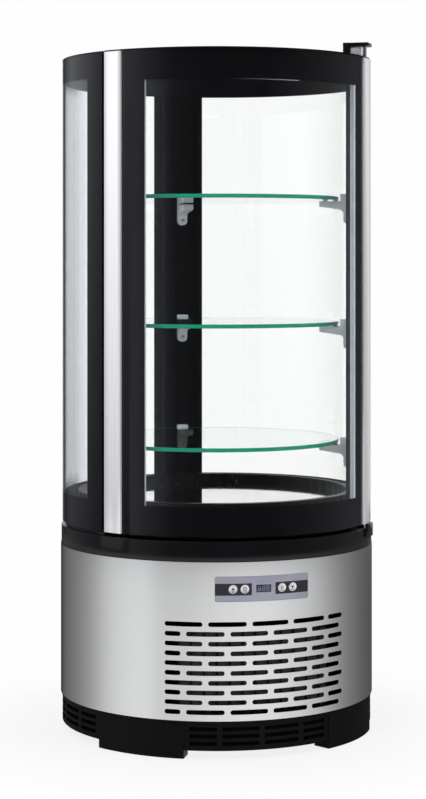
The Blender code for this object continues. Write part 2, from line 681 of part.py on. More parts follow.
# Base ring: moulded ring between base and glass, with the sill of the display space inside it
def build_base_ring():
    band_inner = RING_RADIUS - RING_WALL
    outline = [
        (SKIRT_INNER_RADIUS, PANEL_TOP - RING_SKIRT),
        (SKIRT_RADIUS, PANEL_TOP - RING_SKIRT),
        (SKIRT_RADIUS, PANEL_TOP + CLEARANCE),
        (RING_RADIUS, PANEL_TOP + CLEARANCE),
        (RING_RADIUS, RING_TOP - RING_EDGE),
        (RING_RADIUS - RING_EDGE, RING_TOP),
        (SILL_OUTER_RADIUS, RING_TOP),
        (SILL_OUTER_RADIUS, SILL_TOP),
        (SILL_INNER_RADIUS, SILL_TOP),
        (SILL_INNER_RADIUS, LEDGE_TOP),
        (LEDGE_RADIUS, LEDGE_TOP),
        (LEDGE_RADIUS, LEDGE_BOTTOM),
        (RING_CORE_RADIUS, LEDGE_BOTTOM),
        (RING_CORE_RADIUS, RING_TOP - RING_WALL),
        (SKIRT_INNER_RADIUS, RING_TOP - RING_WALL),
    ]
    bm = bmesh.new()
    add_turned(bm, outline)
    ring = add_part("base_ring", bm, BLACK_GLOSS)
    seat_outer = OUTER_PANE_INNER - PANE_THICKNESS / 4
    seat_inner = INNER_PANE_INNER - PANE_THICKNESS / 4
    seat_top = DOOR_BOTTOM - CLEARANCE
    seat_low = RING_TOP - RING_WALL / 2
    seat = bmesh.new()
    corners = [(seat_inner, seat_low), (seat_outer, seat_low), (seat_outer, seat_top)]
    corners.append((seat_inner, seat_top))
    add_turned(seat, corners, REAR_GLASS_ANGLE, 2 * pi - REAR_GLASS_ANGLE)
    combine(ring, seat, "UNION")
    pocket = bmesh.new()
    half_width = BOTTOM_BRACKET_HALF_WIDTH + CLEARANCE
    pocket_inner = BOTTOM_BRACKET_INNER_RADIUS - CLEARANCE
    pocket_low = BOTTOM_BRACKET_TOP - BOTTOM_BRACKET_PLATE - CLEARANCE
    add_block(pocket, (-half_width, -BRACKET_REACH, pocket_low), (half_width, -pocket_inner, SILL_TOP))
    bmesh.ops.rotate(pocket, verts=pocket.verts, matrix=Matrix.Rotation(HINGE_ANGLE, 3, "Z"))
    combine(ring, pocket, "DIFFERENCE")


build_base_ring()


# Floor tub: insulated tub in the ring, with a drain and a hole for the refrigerant line
def build_floor_tub():
    bm = bmesh.new()
    outline = [
        (0.0, TUB_BOTTOM),
        (TUB_RADIUS, TUB_BOTTOM),
        (TUB_RADIUS, TUB_TOP),
        (TUB_INNER_RADIUS, TUB_TOP),
        (TUB_INNER_RADIUS, TUB_INSIDE),
        (0.0, TUB_INSIDE),
    ]
    add_lathed(bm, outline, round(2 * pi / FACET), Matrix.Rotation(-pi / 2, 4, "Z"))
    tub = add_part("floor_tub", bm, WHITE_FOAM)
    holes = bmesh.new()
    low = TUB_BOTTOM - TUB_FLOOR
    through = (0.0, 0.0, 3 * TUB_FLOOR)
    line_place = COMPRESSOR_PLACE + Vector((0.0, 0.0, low))
    drain_place = Vector((DRAIN_PLACE.x, DRAIN_PLACE.y, low))
    add_cylinder(holes, LINE_HOLE_RADIUS, line_place, through, segments=12)
    add_cylinder(holes, DRAIN_RADIUS, drain_place, through, segments=12)
    combine(tub, holes, "DIFFERENCE")


build_floor_tub()


# Floor plate: polished steel display floor with air slots front and rear
def build_floor_plate():
    bm = bmesh.new()
    bottom = FLOOR_TOP - FLOOR_THICKNESS
    points = disc_points(SILL_INNER_RADIUS - CLEARANCE, bottom)
    add_prism(bm, points, (0.0, 0.0, FLOOR_THICKNESS))
    plate = add_part("floor_plate", bm, POLISHED_STEEL)
    slots = bmesh.new()
    for step in range(FLOOR_SLOTS):
        angle = (step - (FLOOR_SLOTS - 1) / 2) * FLOOR_SLOT_STEP
        for facing in (0.0, pi):
            turn = Matrix.Rotation(angle + facing, 4, "Z")
            half = FLOOR_SLOT_WIDTH / 2
            near, far = -FLOOR_SLOT_RADIUS, -FLOOR_SLOT_RADIUS - FLOOR_SLOT_LENGTH
            low = bottom - 3 * FLOOR_THICKNESS
            corners = [(-half, near, low), (half, near, low), (half, far, low), (-half, far, low)]
            points = [turn @ Vector(corner) for corner in corners]
            add_prism(slots, points, (0.0, 0.0, 7 * FLOOR_THICKNESS))
    combine(plate, slots, "DIFFERENCE")


build_floor_plate()


# Compressor: welded steel can on its foot
def build_compressor():
    radius, height = COMPRESSOR_RADIUS, COMPRESSOR_HEIGHT
    outline = [
        (0.0, 0.0),
        (0.70 * radius, 0.0),
        (0.70 * radius, 0.04 * height),
        (0.92 * radius, 0.12 * height),
        (radius, 0.22 * height),
        (radius, 0.78 * height),
        (0.86 * radius, 0.92 * height),
        (0.45 * radius, height),
        (0.0, height),
    ]
    bm = bmesh.new()
    add_lathed(bm, outline, 24)
    location = COMPRESSOR_PLACE + Vector((0.0, 0.0, CHASSIS_TOP + CLEARANCE))
    add_part("compressor", bm, BLACK_STEEL, location=location)


build_compressor()


# Condenser: finned block behind the grille, standing on the chassis plate
def comb_points(half_width, back, front, teeth, depth):
    """Outline of a block whose front is a comb of fins, in the plane of its fins' profile."""
    points = [(-half_width, back), (half_width, back)]
    pitch = 2 * half_width / (2 * teeth - 1)
    for tooth in range(teeth):
        right = half_width - 2 * tooth * pitch
        points += [(right, front), (right - pitch, front)]
        if tooth < teeth - 1:
            points += [(right - pitch, front + depth), (right - 2 * pitch, front + depth)]
    return points


bm = bmesh.new()
condenser_back = CONDENSER_FRONT + CONDENSER_DEPTH
outline = comb_points(
    CONDENSER_HALF_WIDTH, condenser_back, CONDENSER_FRONT, CONDENSER_FINS, FIN_DEPTH
)
points = [(x, y, CHASSIS_TOP + CLEARANCE) for x, y in outline]
add_prism(bm, points, (0.0, 0.0, CONDENSER_HEIGHT))
add_part("condenser", bm, BLACK_STEEL)


# Fan shroud: plate behind the condenser with the collar that the fan turns in
def build_fan_shroud():
    bm = bmesh.new()
    low = CHASSIS_TOP + CLEARANCE
    add_block(
        bm,
        (-CONDENSER_HALF_WIDTH, SHROUD_FRONT, low),
        (CONDENSER_HALF_WIDTH, SHROUD_BACK, low + CONDENSER_HEIGHT),
    )
    shroud = add_part("fan_shroud", bm, BLACK_PLASTIC)
    bore = FAN_RADIUS + FAN_TIP_GAP
    start = Vector((0.0, (SHROUD_FRONT + SHROUD_BACK) / 2, FAN_CENTRE_HEIGHT))
    collar = bmesh.new()
    length = SHROUD_THICKNESS / 2 + COLLAR_LENGTH
    add_cylinder(collar, bore + COLLAR_WALL, start, (0.0, length, 0.0), segments=32)
    combine(shroud, collar, "UNION")
    hole = bmesh.new()
    start.y = SHROUD_FRONT - SHROUD_THICKNESS
    add_cylinder(hole, bore, start, (0.0, 3 * SHROUD_THICKNESS + COLLAR_LENGTH, 0.0), segments=32)
    combine(shroud, hole, "DIFFERENCE")


build_fan_shroud()


# Fans: a hub with a blind bore for its motor's shaft, and pitched blades
TO_THE_REAR = Matrix.Rotation(-pi / 2, 4, "X")


def build_fan(name, centre, hub_radius, hub_length, tip_radius, shaft_radius):
    """Fan whose hub runs from its origin towards the rear."""
    bm = bmesh.new()
    bore = shaft_radius + BORE_CLEARANCE
    bore_start = hub_length / 4
    outline = [
        (0.0, 0.0),
        (hub_radius, 0.0),
        (hub_radius, hub_length),
        (bore, hub_length),
        (bore, bore_start),
        (0.0, bore_start),
    ]
    add_lathed(bm, outline, 20, TO_THE_REAR)
    fan = add_part(name, bm, BLACK_PLASTIC, location=centre)
    blades = bmesh.new()
    root, tip = 0.75 * hub_radius, tip_radius
    for blade in range(FAN_BLADES):
        turn = Matrix.Rotation(2 * pi * blade / FAN_BLADES, 4, "Y")
        corners = []
        for radius, half_width, pitch in ((root, 0.36 * hub_radius, 0.9), (tip, 0.30 * tip, 0.45)):
            for side in (-1, 1):
                x = side * half_width * cos(pitch)
                y = hub_length / 2 + side * 0.40 * hub_length
                corners.append((x, y, sqrt(radius * radius - x * x)))
        thickness = Vector((0.0, hub_length / 10, 0.0))
        order = (0, 1, 3, 2)
        near = [blades.verts.new(turn @ (Vector(corners[i]) - thickness / 2)) for i in order]
        far = [blades.verts.new(turn @ (Vector(corners[i]) + thickness / 2)) for i in order]
        for side in (near, far):
            blades.faces.new((side[0], side[1], side[2]))
            blades.faces.new((side[0], side[2], side[3]))
        for i in range(4):
            blades.faces.new((near[i - 1], near[i], far[i], far[i - 1]))
    combine(fan, blades, "UNION")


fan_centre = Vector((0.0, FAN_FRONT, FAN_CENTRE_HEIGHT))
small_fan_centre = Vector((0.0, SMALL_FAN_PLACE, SMALL_FAN_CENTRE_HEIGHT))
build_fan(
    "condenser_fan", fan_centre, FAN_HUB_RADIUS, FAN_HUB_LENGTH, FAN_RADIUS, MOTOR_SHAFT_RADIUS
)
build_fan(
    "evaporator_fan",
    small_fan_centre,
    SMALL_HUB_RADIUS,
    SMALL_HUB_LENGTH,
    SMALL_FAN_RADIUS,
    SMALL_SHAFT_RADIUS,
)


# Motors: a round can with its shaft in the fan's hub. A strap or a stand carries it
def motor_outline(radius, length, shaft_radius, shaft_length):
    """Outline from the shaft's tip to the can's back, about the motor's axis."""
    return [
        (0.0, -shaft_length),
        (shaft_radius, -shaft_length),
        (shaft_radius, 0.0),
        (radius, 0.0),
        (radius, length),
        (0.0, length),
    ]


def build_motors():
    shaft = MOTOR_GAP + 0.7 * FAN_HUB_LENGTH
    bm = bmesh.new()
    outline = motor_outline(MOTOR_RADIUS, MOTOR_LENGTH, MOTOR_SHAFT_RADIUS, shaft)
    add_lathed(bm, outline, 20, TO_THE_REAR)
    place_of_motor = Vector((0.0, MOTOR_FRONT, FAN_CENTRE_HEIGHT))
    motor = add_part("condenser_fan_motor", bm, ZINC_STEEL, location=place_of_motor)
    reach, leg = STRAP_REACH, STRAP_LEG
    feet = SHROUD_BACK + CLEARANCE - MOTOR_FRONT
    strap_points = [
        (-reach, feet),
        (leg - reach, feet),
        (leg - reach, 0.5 * STRAP_THICKNESS),
        (reach - leg, 0.5 * STRAP_THICKNESS),
        (reach - leg, feet),
        (reach, feet),
        (reach, 1.5 * STRAP_THICKNESS),
        (-reach, 1.5 * STRAP_THICKNESS),
    ]
    strap = bmesh.new()
    points = [(x, y, -STRAP_HALF_HEIGHT) for x, y in strap_points]
    add_prism(strap, points, (0.0, 0.0, 2 * STRAP_HALF_HEIGHT))
    combine(motor, strap, "UNION")

    shaft = SMALL_MOTOR_FRONT - SMALL_FAN_PLACE - 0.3 * SMALL_HUB_LENGTH
    bm = bmesh.new()
    outline = motor_outline(SMALL_MOTOR_RADIUS, SMALL_MOTOR_LENGTH, SMALL_SHAFT_RADIUS, shaft)
    add_lathed(bm, outline, 20, TO_THE_REAR)
    place_of_motor = Vector((0.0, SMALL_MOTOR_FRONT, SMALL_FAN_CENTRE_HEIGHT))
    motor = add_part("evaporator_fan_motor", bm, ZINC_STEEL, location=place_of_motor)
    stand = bmesh.new()
    foot = TUB_INSIDE + CLEARANCE - SMALL_FAN_CENTRE_HEIGHT
    half_width = SMALL_STAND_HALF_WIDTH
    add_block(
        stand,
        (-half_width, 0.15 * SMALL_MOTOR_LENGTH, foot),
        (half_width, 0.85 * SMALL_MOTOR_LENGTH, 0.0),
    )
    combine(motor, stand, "UNION")


build_motors()


# Refrigerant line: from the compressor's top, through its drier and the tub, to the evaporator
def build_line():
    start = COMPRESSOR_PLACE + Vector((0.0, 0.0, CHASSIS_TOP + 2 * CLEARANCE + COMPRESSOR_HEIGHT))
    top = TUB_INSIDE + EVAPORATOR_HEIGHT / 2
    evaporator_back = EVAPORATOR_FRONT + EVAPORATOR_DEPTH + 2 * CLEARANCE
    drier_low = start.z + DRIER_LENGTH / 2
    stations = [
        (start.z, LINE_RADIUS),
        (drier_low, LINE_RADIUS),
        (drier_low + DRIER_LENGTH / 5, DRIER_RADIUS),
        (drier_low + DRIER_LENGTH, DRIER_RADIUS),
        (drier_low + 1.2 * DRIER_LENGTH, LINE_RADIUS),
        (top - LINE_BEND, LINE_RADIUS),
    ]
    points = [(start.x, start.y, height, radius) for height, radius in stations]
    for step in range(1, 5):
        turn = step * pi / 8
        y = start.y - LINE_BEND * (1 - cos(turn))
        points.append((start.x, y, top - LINE_BEND + LINE_BEND * sin(turn), LINE_RADIUS))
    points.append((start.x, evaporator_back, top, LINE_RADIUS))
    curve = bpy.data.curves.new("refrigerant_line", "CURVE")
    curve.dimensions = "3D"
    curve.bevel_depth = 1.0
    curve.bevel_resolution = 2
    curve.use_fill_caps = True
    spline = curve.splines.new("POLY")
    spline.points.add(len(points) - 1)
    for point, (x, y, z, radius) in zip(spline.points, points):
        point.co = (x, y, z, 1.0)
        point.radius = radius
    curve.materials.append(COPPER)
    place("refrigerant_line", curve)


build_line()

# Drip tray: open tray on the chassis plate under the tub's drain
bm = bmesh.new()
tray_low = TRAY_CORNER + Vector((0.0, 0.0, CHASSIS_TOP + CLEARANCE))
add_block(bm, tray_low, tray_low + TRAY_SIZE)
tray = add_part("drip_tray", bm, BLACK_PLASTIC)
hollow = bmesh.new()
wall = Vector((TRAY_WALL, TRAY_WALL, TRAY_WALL))
beyond = Vector((-TRAY_WALL, -TRAY_WALL, TRAY_WALL))
add_block(hollow, tray_low + wall, tray_low + TRAY_SIZE + beyond)
combine(tray, hollow, "DIFFERENCE")

# Evaporator: finned block on the tub's floor
bm = bmesh.new()
evaporator_low = TUB_INSIDE + CLEARANCE
outline = comb_points(
    EVAPORATOR_HALF_WIDTH,
    -evaporator_low,
    -evaporator_low - EVAPORATOR_HEIGHT,
    EVAPORATOR_FINS,
    2 * FIN_DEPTH,
)
points = [(x, EVAPORATOR_FRONT, -negative_height) for x, negative_height in outline]
add_prism(bm, points, (0.0, EVAPORATOR_DEPTH, 0.0))
add_part("evaporator", bm, ALUMINIUM)


# Controls: an overlay plate in the front panel, a display, four push buttons and the board behind
def chord_depth(radius, half_width):
    """How far a round wall falls back at half a width from its middle."""
    return radius - sqrt(radius * radius - half_width * half_width)


def build_controls():
    plate_inner = PANEL_RADIUS - CONTROL_THICKNESS
    bm = bmesh.new()
    span = (CONTROL_ANGLE - CONTROL_HALF_ANGLE, CONTROL_ANGLE + CONTROL_HALF_ANGLE)
    heights = (CONTROL_HEIGHT - CONTROL_HALF_HEIGHT, CONTROL_HEIGHT + CONTROL_HALF_HEIGHT)
    add_curved_plate(bm, plate_inner, PANEL_RADIUS, span, heights)
    plate = add_part("control_plate", bm, GREY_OVERLAY)
    holes = bmesh.new()
    for angle in BUTTON_ANGLES:
        outward = polar(1.0, CONTROL_ANGLE + angle)
        start = plate_inner * 0.99 * outward + Vector((0.0, 0.0, CONTROL_HEIGHT))
        add_cylinder(holes, BUTTON_RADIUS + CLEARANCE, start, 0.02 * PANEL_RADIUS * outward, segments=16)
    combine(plate, holes, "DIFFERENCE")
    window = bmesh.new()
    half_width = DISPLAY_HALF_WIDTH + CLEARANCE
    half_height = DISPLAY_HALF_HEIGHT + CLEARANCE
    add_block(
        window,
        (-half_width, -1.01 * PANEL_RADIUS, CONTROL_HEIGHT - half_height),
        (half_width, -0.97 * PANEL_RADIUS, CONTROL_HEIGHT + half_height),
    )
    bmesh.ops.rotate(window, verts=window.verts, matrix=Matrix.Rotation(CONTROL_ANGLE, 3, "Z"))
    combine(plate, window, "DIFFERENCE")

    face = -PANEL_RADIUS + chord_depth(PANEL_RADIUS, DISPLAY_HALF_WIDTH) + DISPLAY_RECESS
    board_front = -PANEL_RADIUS + BOARD_SETBACK + CONTROL_THICKNESS
    bm = bmesh.new()
    add_block(
        bm,
        (-DISPLAY_HALF_WIDTH, face, -DISPLAY_HALF_HEIGHT),
        (DISPLAY_HALF_WIDTH, board_front - CLEARANCE, DISPLAY_HALF_HEIGHT),
    )
    at_height = (0.0, 0.0, CONTROL_HEIGHT)
    add_part("display_window", bm, DARK_WINDOW, location=at_height, turn=CONTROL_ANGLE)

    flange_radius = BUTTON_RADIUS + BUTTON_FLANGE_WIDTH
    facet_sag = plate_inner * (1 - cos(FACET / 2))
    flange_front = plate_inner - chord_depth(plate_inner, flange_radius) - facet_sag - CLEARANCE
    front = PANEL_RADIUS + BUTTON_PROUD
    tilt = max(BUTTON_ANGLES)
    stem_reach = CLEARANCE + BUTTON_TRAVEL + BUTTON_STEM_RADIUS * sin(tilt) - board_front
    stem_end = stem_reach / cos(tilt) - flange_front
    outline = [
        (0.0, front - flange_front),
        (BUTTON_RADIUS, front - flange_front),
        (BUTTON_RADIUS, 0.0),
        (flange_radius, 0.0),
        (flange_radius, -BUTTON_FLANGE),
        (BUTTON_STEM_RADIUS, -BUTTON_FLANGE),
        (BUTTON_STEM_RADIUS, stem_end),
        (0.0, stem_end),
    ]
    bm = bmesh.new()
    add_lathed(bm, outline, 14, Matrix.Rotation(pi / 2, 4, "X"))
    button_mesh = mesh_from("button", bm, SILVER_BUTTON)
    for number, angle in enumerate(BUTTON_ANGLES, start=1):
        location = polar(flange_front, CONTROL_ANGLE + angle, CONTROL_HEIGHT)
        place(f"button_{number}", button_mesh, location=location, turn=CONTROL_ANGLE + angle)

    bm = bmesh.new()
    add_block(
        bm,
        (-BOARD_HALF_WIDTH, board_front, -BOARD_HALF_HEIGHT),
        (BOARD_HALF_WIDTH, board_front + BOARD_THICKNESS, BOARD_HALF_HEIGHT),
    )
    board = add_part("control_board", bm, BOARD_GREEN, location=at_height, turn=CONTROL_ANGLE)
    pillars = bmesh.new()
    outer_side = PILLAR_OFFSET + PILLAR_RADIUS
    pillar_end = -plate_inner + chord_depth(plate_inner, outer_side) + facet_sag + CLEARANCE
    for side in (-1, 1):
        start = (side * PILLAR_OFFSET, board_front + BOARD_THICKNESS / 2, 0.0)
        along = (0.0, pillar_end - board_front - BOARD_THICKNESS / 2, 0.0)
        add_cylinder(pillars, PILLAR_RADIUS, start, along, segments=10)
    combine(board, pillars, "UNION")


build_controls()


# Mains inlet: a socket with three pins, flush in the rear cover's hole
def build_power_inlet():
    outer_width = INLET_HALF_WIDTH + INLET_WALL
    outer_height = INLET_HALF_HEIGHT + INLET_WALL
    mouth = PANEL_INNER_RADIUS - chord_depth(PANEL_INNER_RADIUS, outer_width)
    back = mouth - INLET_DEPTH - INLET_WALL
    bm = bmesh.new()
    low, high = INLET_HEIGHT - outer_height, INLET_HEIGHT + outer_height
    add_block(bm, (-outer_width, back, low), (outer_width, mouth, high))
    inlet = add_part("power_inlet", bm, BLACK_PLASTIC)
    flange = bmesh.new()
    reach = outer_width + INLET_FLANGE
    flange_back = PANEL_INNER_RADIUS - chord_depth(PANEL_INNER_RADIUS, reach)
    flange_back -= PANEL_INNER_RADIUS * (1 - cos(FACET / 2)) + CLEARANCE
    add_block(
        flange,
        (-reach, flange_back - INLET_WALL, low + CLEARANCE),
        (reach, flange_back, high - CLEARANCE),
    )
    combine(inlet, flange, "UNION")
    socket = bmesh.new()
    add_block(
        socket,
        (-INLET_HALF_WIDTH, mouth - INLET_DEPTH, INLET_HEIGHT - INLET_HALF_HEIGHT),
        (INLET_HALF_WIDTH, mouth + INLET_DEPTH, INLET_HEIGHT + INLET_HALF_HEIGHT),
    )
    combine(inlet, socket, "DIFFERENCE")
    pins = bmesh.new()
    pin_start = mouth - INLET_DEPTH - INLET_WALL / 2
    pin_end = mouth - INLET_DEPTH + INLET_PIN_LENGTH
    for x, raised in ((-0.007, -0.002), (0.0, 0.003), (0.007, -0.002)):
        height = INLET_HEIGHT + raised
        add_block(pins, (x - 0.001, pin_start, height - 0.002), (x + 0.001, pin_end, height + 0.002))
    combine(inlet, pins, "UNION")


build_power_inlet()


# Posts: black uprights on the sill that carry the ceiling, the rear glazing and the brackets
def build_post(name, corners):
    bm = bmesh.new()
    low, high = SILL_TOP + CLEARANCE, CEILING - CLEARANCE
    add_prism(bm, polar_points(corners, low), (0.0, 0.0, high - low))
    add_part(name, bm, BLACK_PLASTIC)


post_corners = [
    (POST_INNER_RADIUS, POST_FRONT_ANGLE),
    (SILL_OUTER_RADIUS, POST_FRONT_ANGLE),
    (SILL_OUTER_RADIUS, REAR_GLASS_ANGLE),
    (POST_OUTER_RADIUS, REAR_GLASS_ANGLE),
    (POST_OUTER_RADIUS, POST_BACK_ANGLE),
    (POST_INNER_RADIUS, POST_BACK_ANGLE),
]
build_post("post_right", post_corners)
build_post("post_left", [(radius, -angle) for radius, angle in post_corners])
rear_sides = (pi - REAR_POST_HALF_ANGLE, pi + REAR_POST_HALF_ANGLE)
build_post(
    "post_rear",
    [
        (POST_INNER_RADIUS, rear_sides[0]),
        (POST_OUTER_RADIUS, rear_sides[0]),
        (POST_OUTER_RADIUS, rear_sides[1]),
        (POST_INNER_RADIUS, rear_sides[1]),
    ],
)


# Double glazing: an outer and an inner pane with a spacer frame between them
def build_pane(name, inner, outer, angles, heights, parent=None, location=(0.0, 0.0, 0.0)):
    bm = bmesh.new()
    add_curved_plate(bm, inner, outer, angles, heights)
    add_part(name, bm, CLEAR_GLASS, parent=parent, location=location)


def build_spacer(name, angles, heights, parent=None, location=(0.0, 0.0, 0.0)):
    side = SPACER_WIDTH / SPACER_OUTER
    window = (
        (angles[0] + side, angles[1] - side),
        (heights[0] + SPACER_WIDTH, heights[1] - SPACER_WIDTH),
    )
    bm = bmesh.new()
    add_curved_plate(bm, SPACER_INNER, SPACER_OUTER, angles, heights, window)
    add_part(name, bm, ALUMINIUM, parent=parent, location=location)


for side, sign in (("right", 1), ("left", -1)):
    spread = tuple(sorted((sign * REAR_GLASS_ANGLE, sign * REAR_SEAM_ANGLE)))
    heights = (DOOR_BOTTOM, GLASS_TOP)
    build_pane(f"rear_glass_outer_{side}", OUTER_PANE_INNER, GLASS_RADIUS, spread, heights)
    build_pane(f"rear_glass_inner_{side}", INNER_PANE_INNER, INNER_PANE_OUTER, spread, heights)
    build_spacer(f"rear_glass_spacer_{side}", spread, heights)


# Ceiling, roof sheet and lamp
def build_top():
    panel_front = ROOF_FRONT_ANGLE
    outline = [
        (SILL_OUTER_RADIUS, -panel_front),
        (SILL_OUTER_RADIUS, panel_front),
        (POST_OUTER_RADIUS, panel_front),
        (POST_OUTER_RADIUS, 2 * pi - panel_front),
    ]
    bm = bmesh.new()
    add_prism(bm, polar_points(outline, CEILING), (0.0, 0.0, GLASS_TOP - CEILING))
    add_part("top_panel", bm, BLACK_PLASTIC)
    front_radius = SILL_OUTER_RADIUS - CLEARANCE
    outline = [
        (front_radius, -panel_front),
        (front_radius, panel_front),
        (GLASS_RADIUS, panel_front),
        (GLASS_RADIUS, 2 * pi - panel_front),
    ]
    bm = bmesh.new()
    add_prism(bm, polar_points(outline, ROOF_BOTTOM), (0.0, 0.0, ROOF_THICKNESS))
    add_part("roof_cover", bm, BLACK_STEEL)
    bm = bmesh.new()
    radii = (LAMP_OUTER_RADIUS - LAMP_WIDTH, LAMP_OUTER_RADIUS)
    heights = (CEILING - CLEARANCE - LAMP_DEPTH, CEILING - CLEARANCE)
    add_curved_plate(bm, *radii, (-LAMP_HALF_ANGLE, LAMP_HALF_ANGLE), heights)
    add_part("lamp_lens", bm, LAMP_COVER)


build_top()


# Hinges: a bracket on the roof with the top pin, and one in the base ring with the bottom pin
def build_hinges():
    foot_outer = SILL_OUTER_RADIUS - 2 * CLEARANCE
    foot_bottom = ROOF_TOP + CLEARANCE
    bracket_top = foot_bottom + TOP_BRACKET_HEIGHT
    plate_bottom = bracket_top - TOP_BRACKET_PLATE
    outline = [
        (foot_outer - TOP_BRACKET_FOOT, foot_bottom),
        (foot_outer, foot_bottom),
        (foot_outer, plate_bottom),
        (BRACKET_REACH, plate_bottom),
        (BRACKET_REACH, bracket_top),
        (foot_outer - TOP_BRACKET_FOOT, bracket_top),
    ]
    half_width = TOP_BRACKET_HALF_WIDTH
    bm = bmesh.new()
    add_prism(bm, [(-half_width, -r, z) for r, z in outline], (2 * half_width, 0.0, 0.0))
    bracket = add_part("top_hinge_bracket", bm, BLACK_STEEL, turn=HINGE_ANGLE)
    seat = bmesh.new()
    start = (0.0, -HINGE_RADIUS, plate_bottom - TOP_PIN_SEAT)
    bore = HINGE_PIN_RADIUS + BORE_CLEARANCE
    add_cylinder(seat, bore, start, (0.0, 0.0, 2 * TOP_PIN_SEAT), segments=16)
    combine(bracket, seat, "DIFFERENCE")

    bm = bmesh.new()
    pin_low = GLASS_TOP - HINGE_PIN_ENGAGEMENT
    pin_high = plate_bottom + TOP_PIN_SEAT - CLEARANCE
    add_cylinder(bm, HINGE_PIN_RADIUS, (0.0, 0.0, 0.0), (0.0, 0.0, pin_high - pin_low))
    add_part("top_hinge_pin", bm, CHROME, location=HINGE_PLACE + Vector((0.0, 0.0, pin_low)))

    plate_top = BOTTOM_BRACKET_TOP
    plate_low = plate_top - BOTTOM_BRACKET_PLATE
    lip_outer_top = DOOR_BOTTOM - 2 * CLEARANCE
    outline = [
        (BOTTOM_BRACKET_INNER_RADIUS, plate_low),
        (RING_RADIUS + CLEARANCE, plate_low),
        (RING_RADIUS + CLEARANCE, plate_low - BOTTOM_LIP_DROP),
        (BRACKET_REACH, plate_low - BOTTOM_LIP_DROP),
        (BRACKET_REACH, lip_outer_top),
        (BRACKET_REACH - BOTTOM_LIP_WALL, lip_outer_top),
        (BRACKET_REACH - BOTTOM_LIP_WALL, plate_top),
        (BOTTOM_BRACKET_INNER_RADIUS, plate_top),
    ]
    half_width = BOTTOM_BRACKET_HALF_WIDTH
    bm = bmesh.new()
    add_prism(bm, [(-half_width, -r, z) for r, z in outline], (2 * half_width, 0.0, 0.0))
    add_part("bottom_hinge_bracket", bm, BLACK_STEEL, turn=HINGE_ANGLE)

    bm = bmesh.new()
    bush_bottom = plate_top + CLEARANCE
    bush_height = DOOR_BOTTOM - CLEARANCE - bush_bottom
    pin_height = DOOR_BOTTOM + HINGE_PIN_ENGAGEMENT - bush_bottom
    outline = [
        (0.0, 0.0),
        (BUSH_RADIUS, 0.0),
        (BUSH_RADIUS, bush_height),
        (HINGE_PIN_RADIUS, bush_height),
        (HINGE_PIN_RADIUS, pin_height),
        (0.0, pin_height),
    ]
    add_lathed(bm, outline, 20)
    location = HINGE_PLACE + Vector((0.0, 0.0, bush_bottom))
    add_part("bottom_hinge_pin", bm, CHROME, location=location)


build_hinges()


# Shelves: round glass plates that lie loose on the brackets' pads
def build_shelves():
    bm = bmesh.new()
    points = disc_points(SHELF_RADIUS, 0.0)
    add_prism(bm, points, (0.0, 0.0, SHELF_THICKNESS))
    shelf_mesh = mesh_from("shelf", bm, SHELF_GLASS)
    bracket_mesh = build_bracket_mesh()
    for number, underside in enumerate(SHELF_UNDERSIDES, start=1):
        place(f"shelf_{number}", shelf_mesh, location=(0.0, 0.0, underside))
        for side, angle in BRACKET_ANGLES.items():
            location = (0.0, 0.0, underside)
            place(f"shelf_bracket_{number}_{side}", bracket_mesh, location=location, turn=angle)


def build_bracket_mesh():
    """Cast bracket at angle 0: arm, two pads, a tab behind the glass, a fillet and a leg."""
    pad_top = -CLEARANCE
    arm_top = pad_top - BRACKET_PAD_HEIGHT
    post_face = POST_INNER_RADIUS * cos(FACET / 2) - CLEARANCE
    post_side = post_face - chord_depth(post_face, BRACKET_WIDTH / 2)
    tab_inner = SHELF_RADIUS + SHELF_EDGE_GAP
    arm_length = tab_inner - BRACKET_TIP_RADIUS
    outline = [(BRACKET_TIP_RADIUS, arm_top)]
    for share in (0.15, 0.65):
        start = BRACKET_TIP_RADIUS + share * arm_length
        end = start + BRACKET_PAD_LENGTH
        outline += [(start, arm_top), (start, pad_top), (end, pad_top), (end, arm_top)]
    outline += [
        (tab_inner, arm_top),
        (tab_inner, SHELF_THICKNESS + BRACKET_TAB_RISE),
        (post_side, SHELF_THICKNESS + BRACKET_TAB_RISE),
        (post_side, arm_top - BRACKET_DROP),
    ]
    leg_side = post_side - BRACKET_LEG_DEPTH
    outline.append((leg_side, arm_top - BRACKET_DROP))
    tip_bottom = arm_top - BRACKET_TIP_DEPTH
    fillet_radius = leg_side - BRACKET_FILLET
    fillet_height = tip_bottom - BRACKET_SLOPE - BRACKET_FILLET
    for step in range(BRACKET_CURVE_POINTS + 1):
        turn = pi / 2 * step / BRACKET_CURVE_POINTS
        radius = fillet_radius + BRACKET_FILLET * cos(turn)
        outline.append((radius, fillet_height + BRACKET_FILLET * sin(turn)))
    outline.append((BRACKET_TIP_RADIUS, tip_bottom))
    bm = bmesh.new()
    points = [(-BRACKET_WIDTH / 2, -radius, z) for radius, z in outline]
    add_prism(bm, points, (BRACKET_WIDTH, 0.0, 0.0))
    return mesh_from("shelf_bracket", bm, CAST_ZINC)


build_shelves()


# Door: everything here swings with the empty on the hinge's axis
door_axis = bpy.data.objects.new("door_axis", None)
bpy.context.scene.collection.objects.link(door_axis)
door_axis.location = HINGE_PLACE
ON_DOOR = {"parent": door_axis, "location": -HINGE_PLACE}


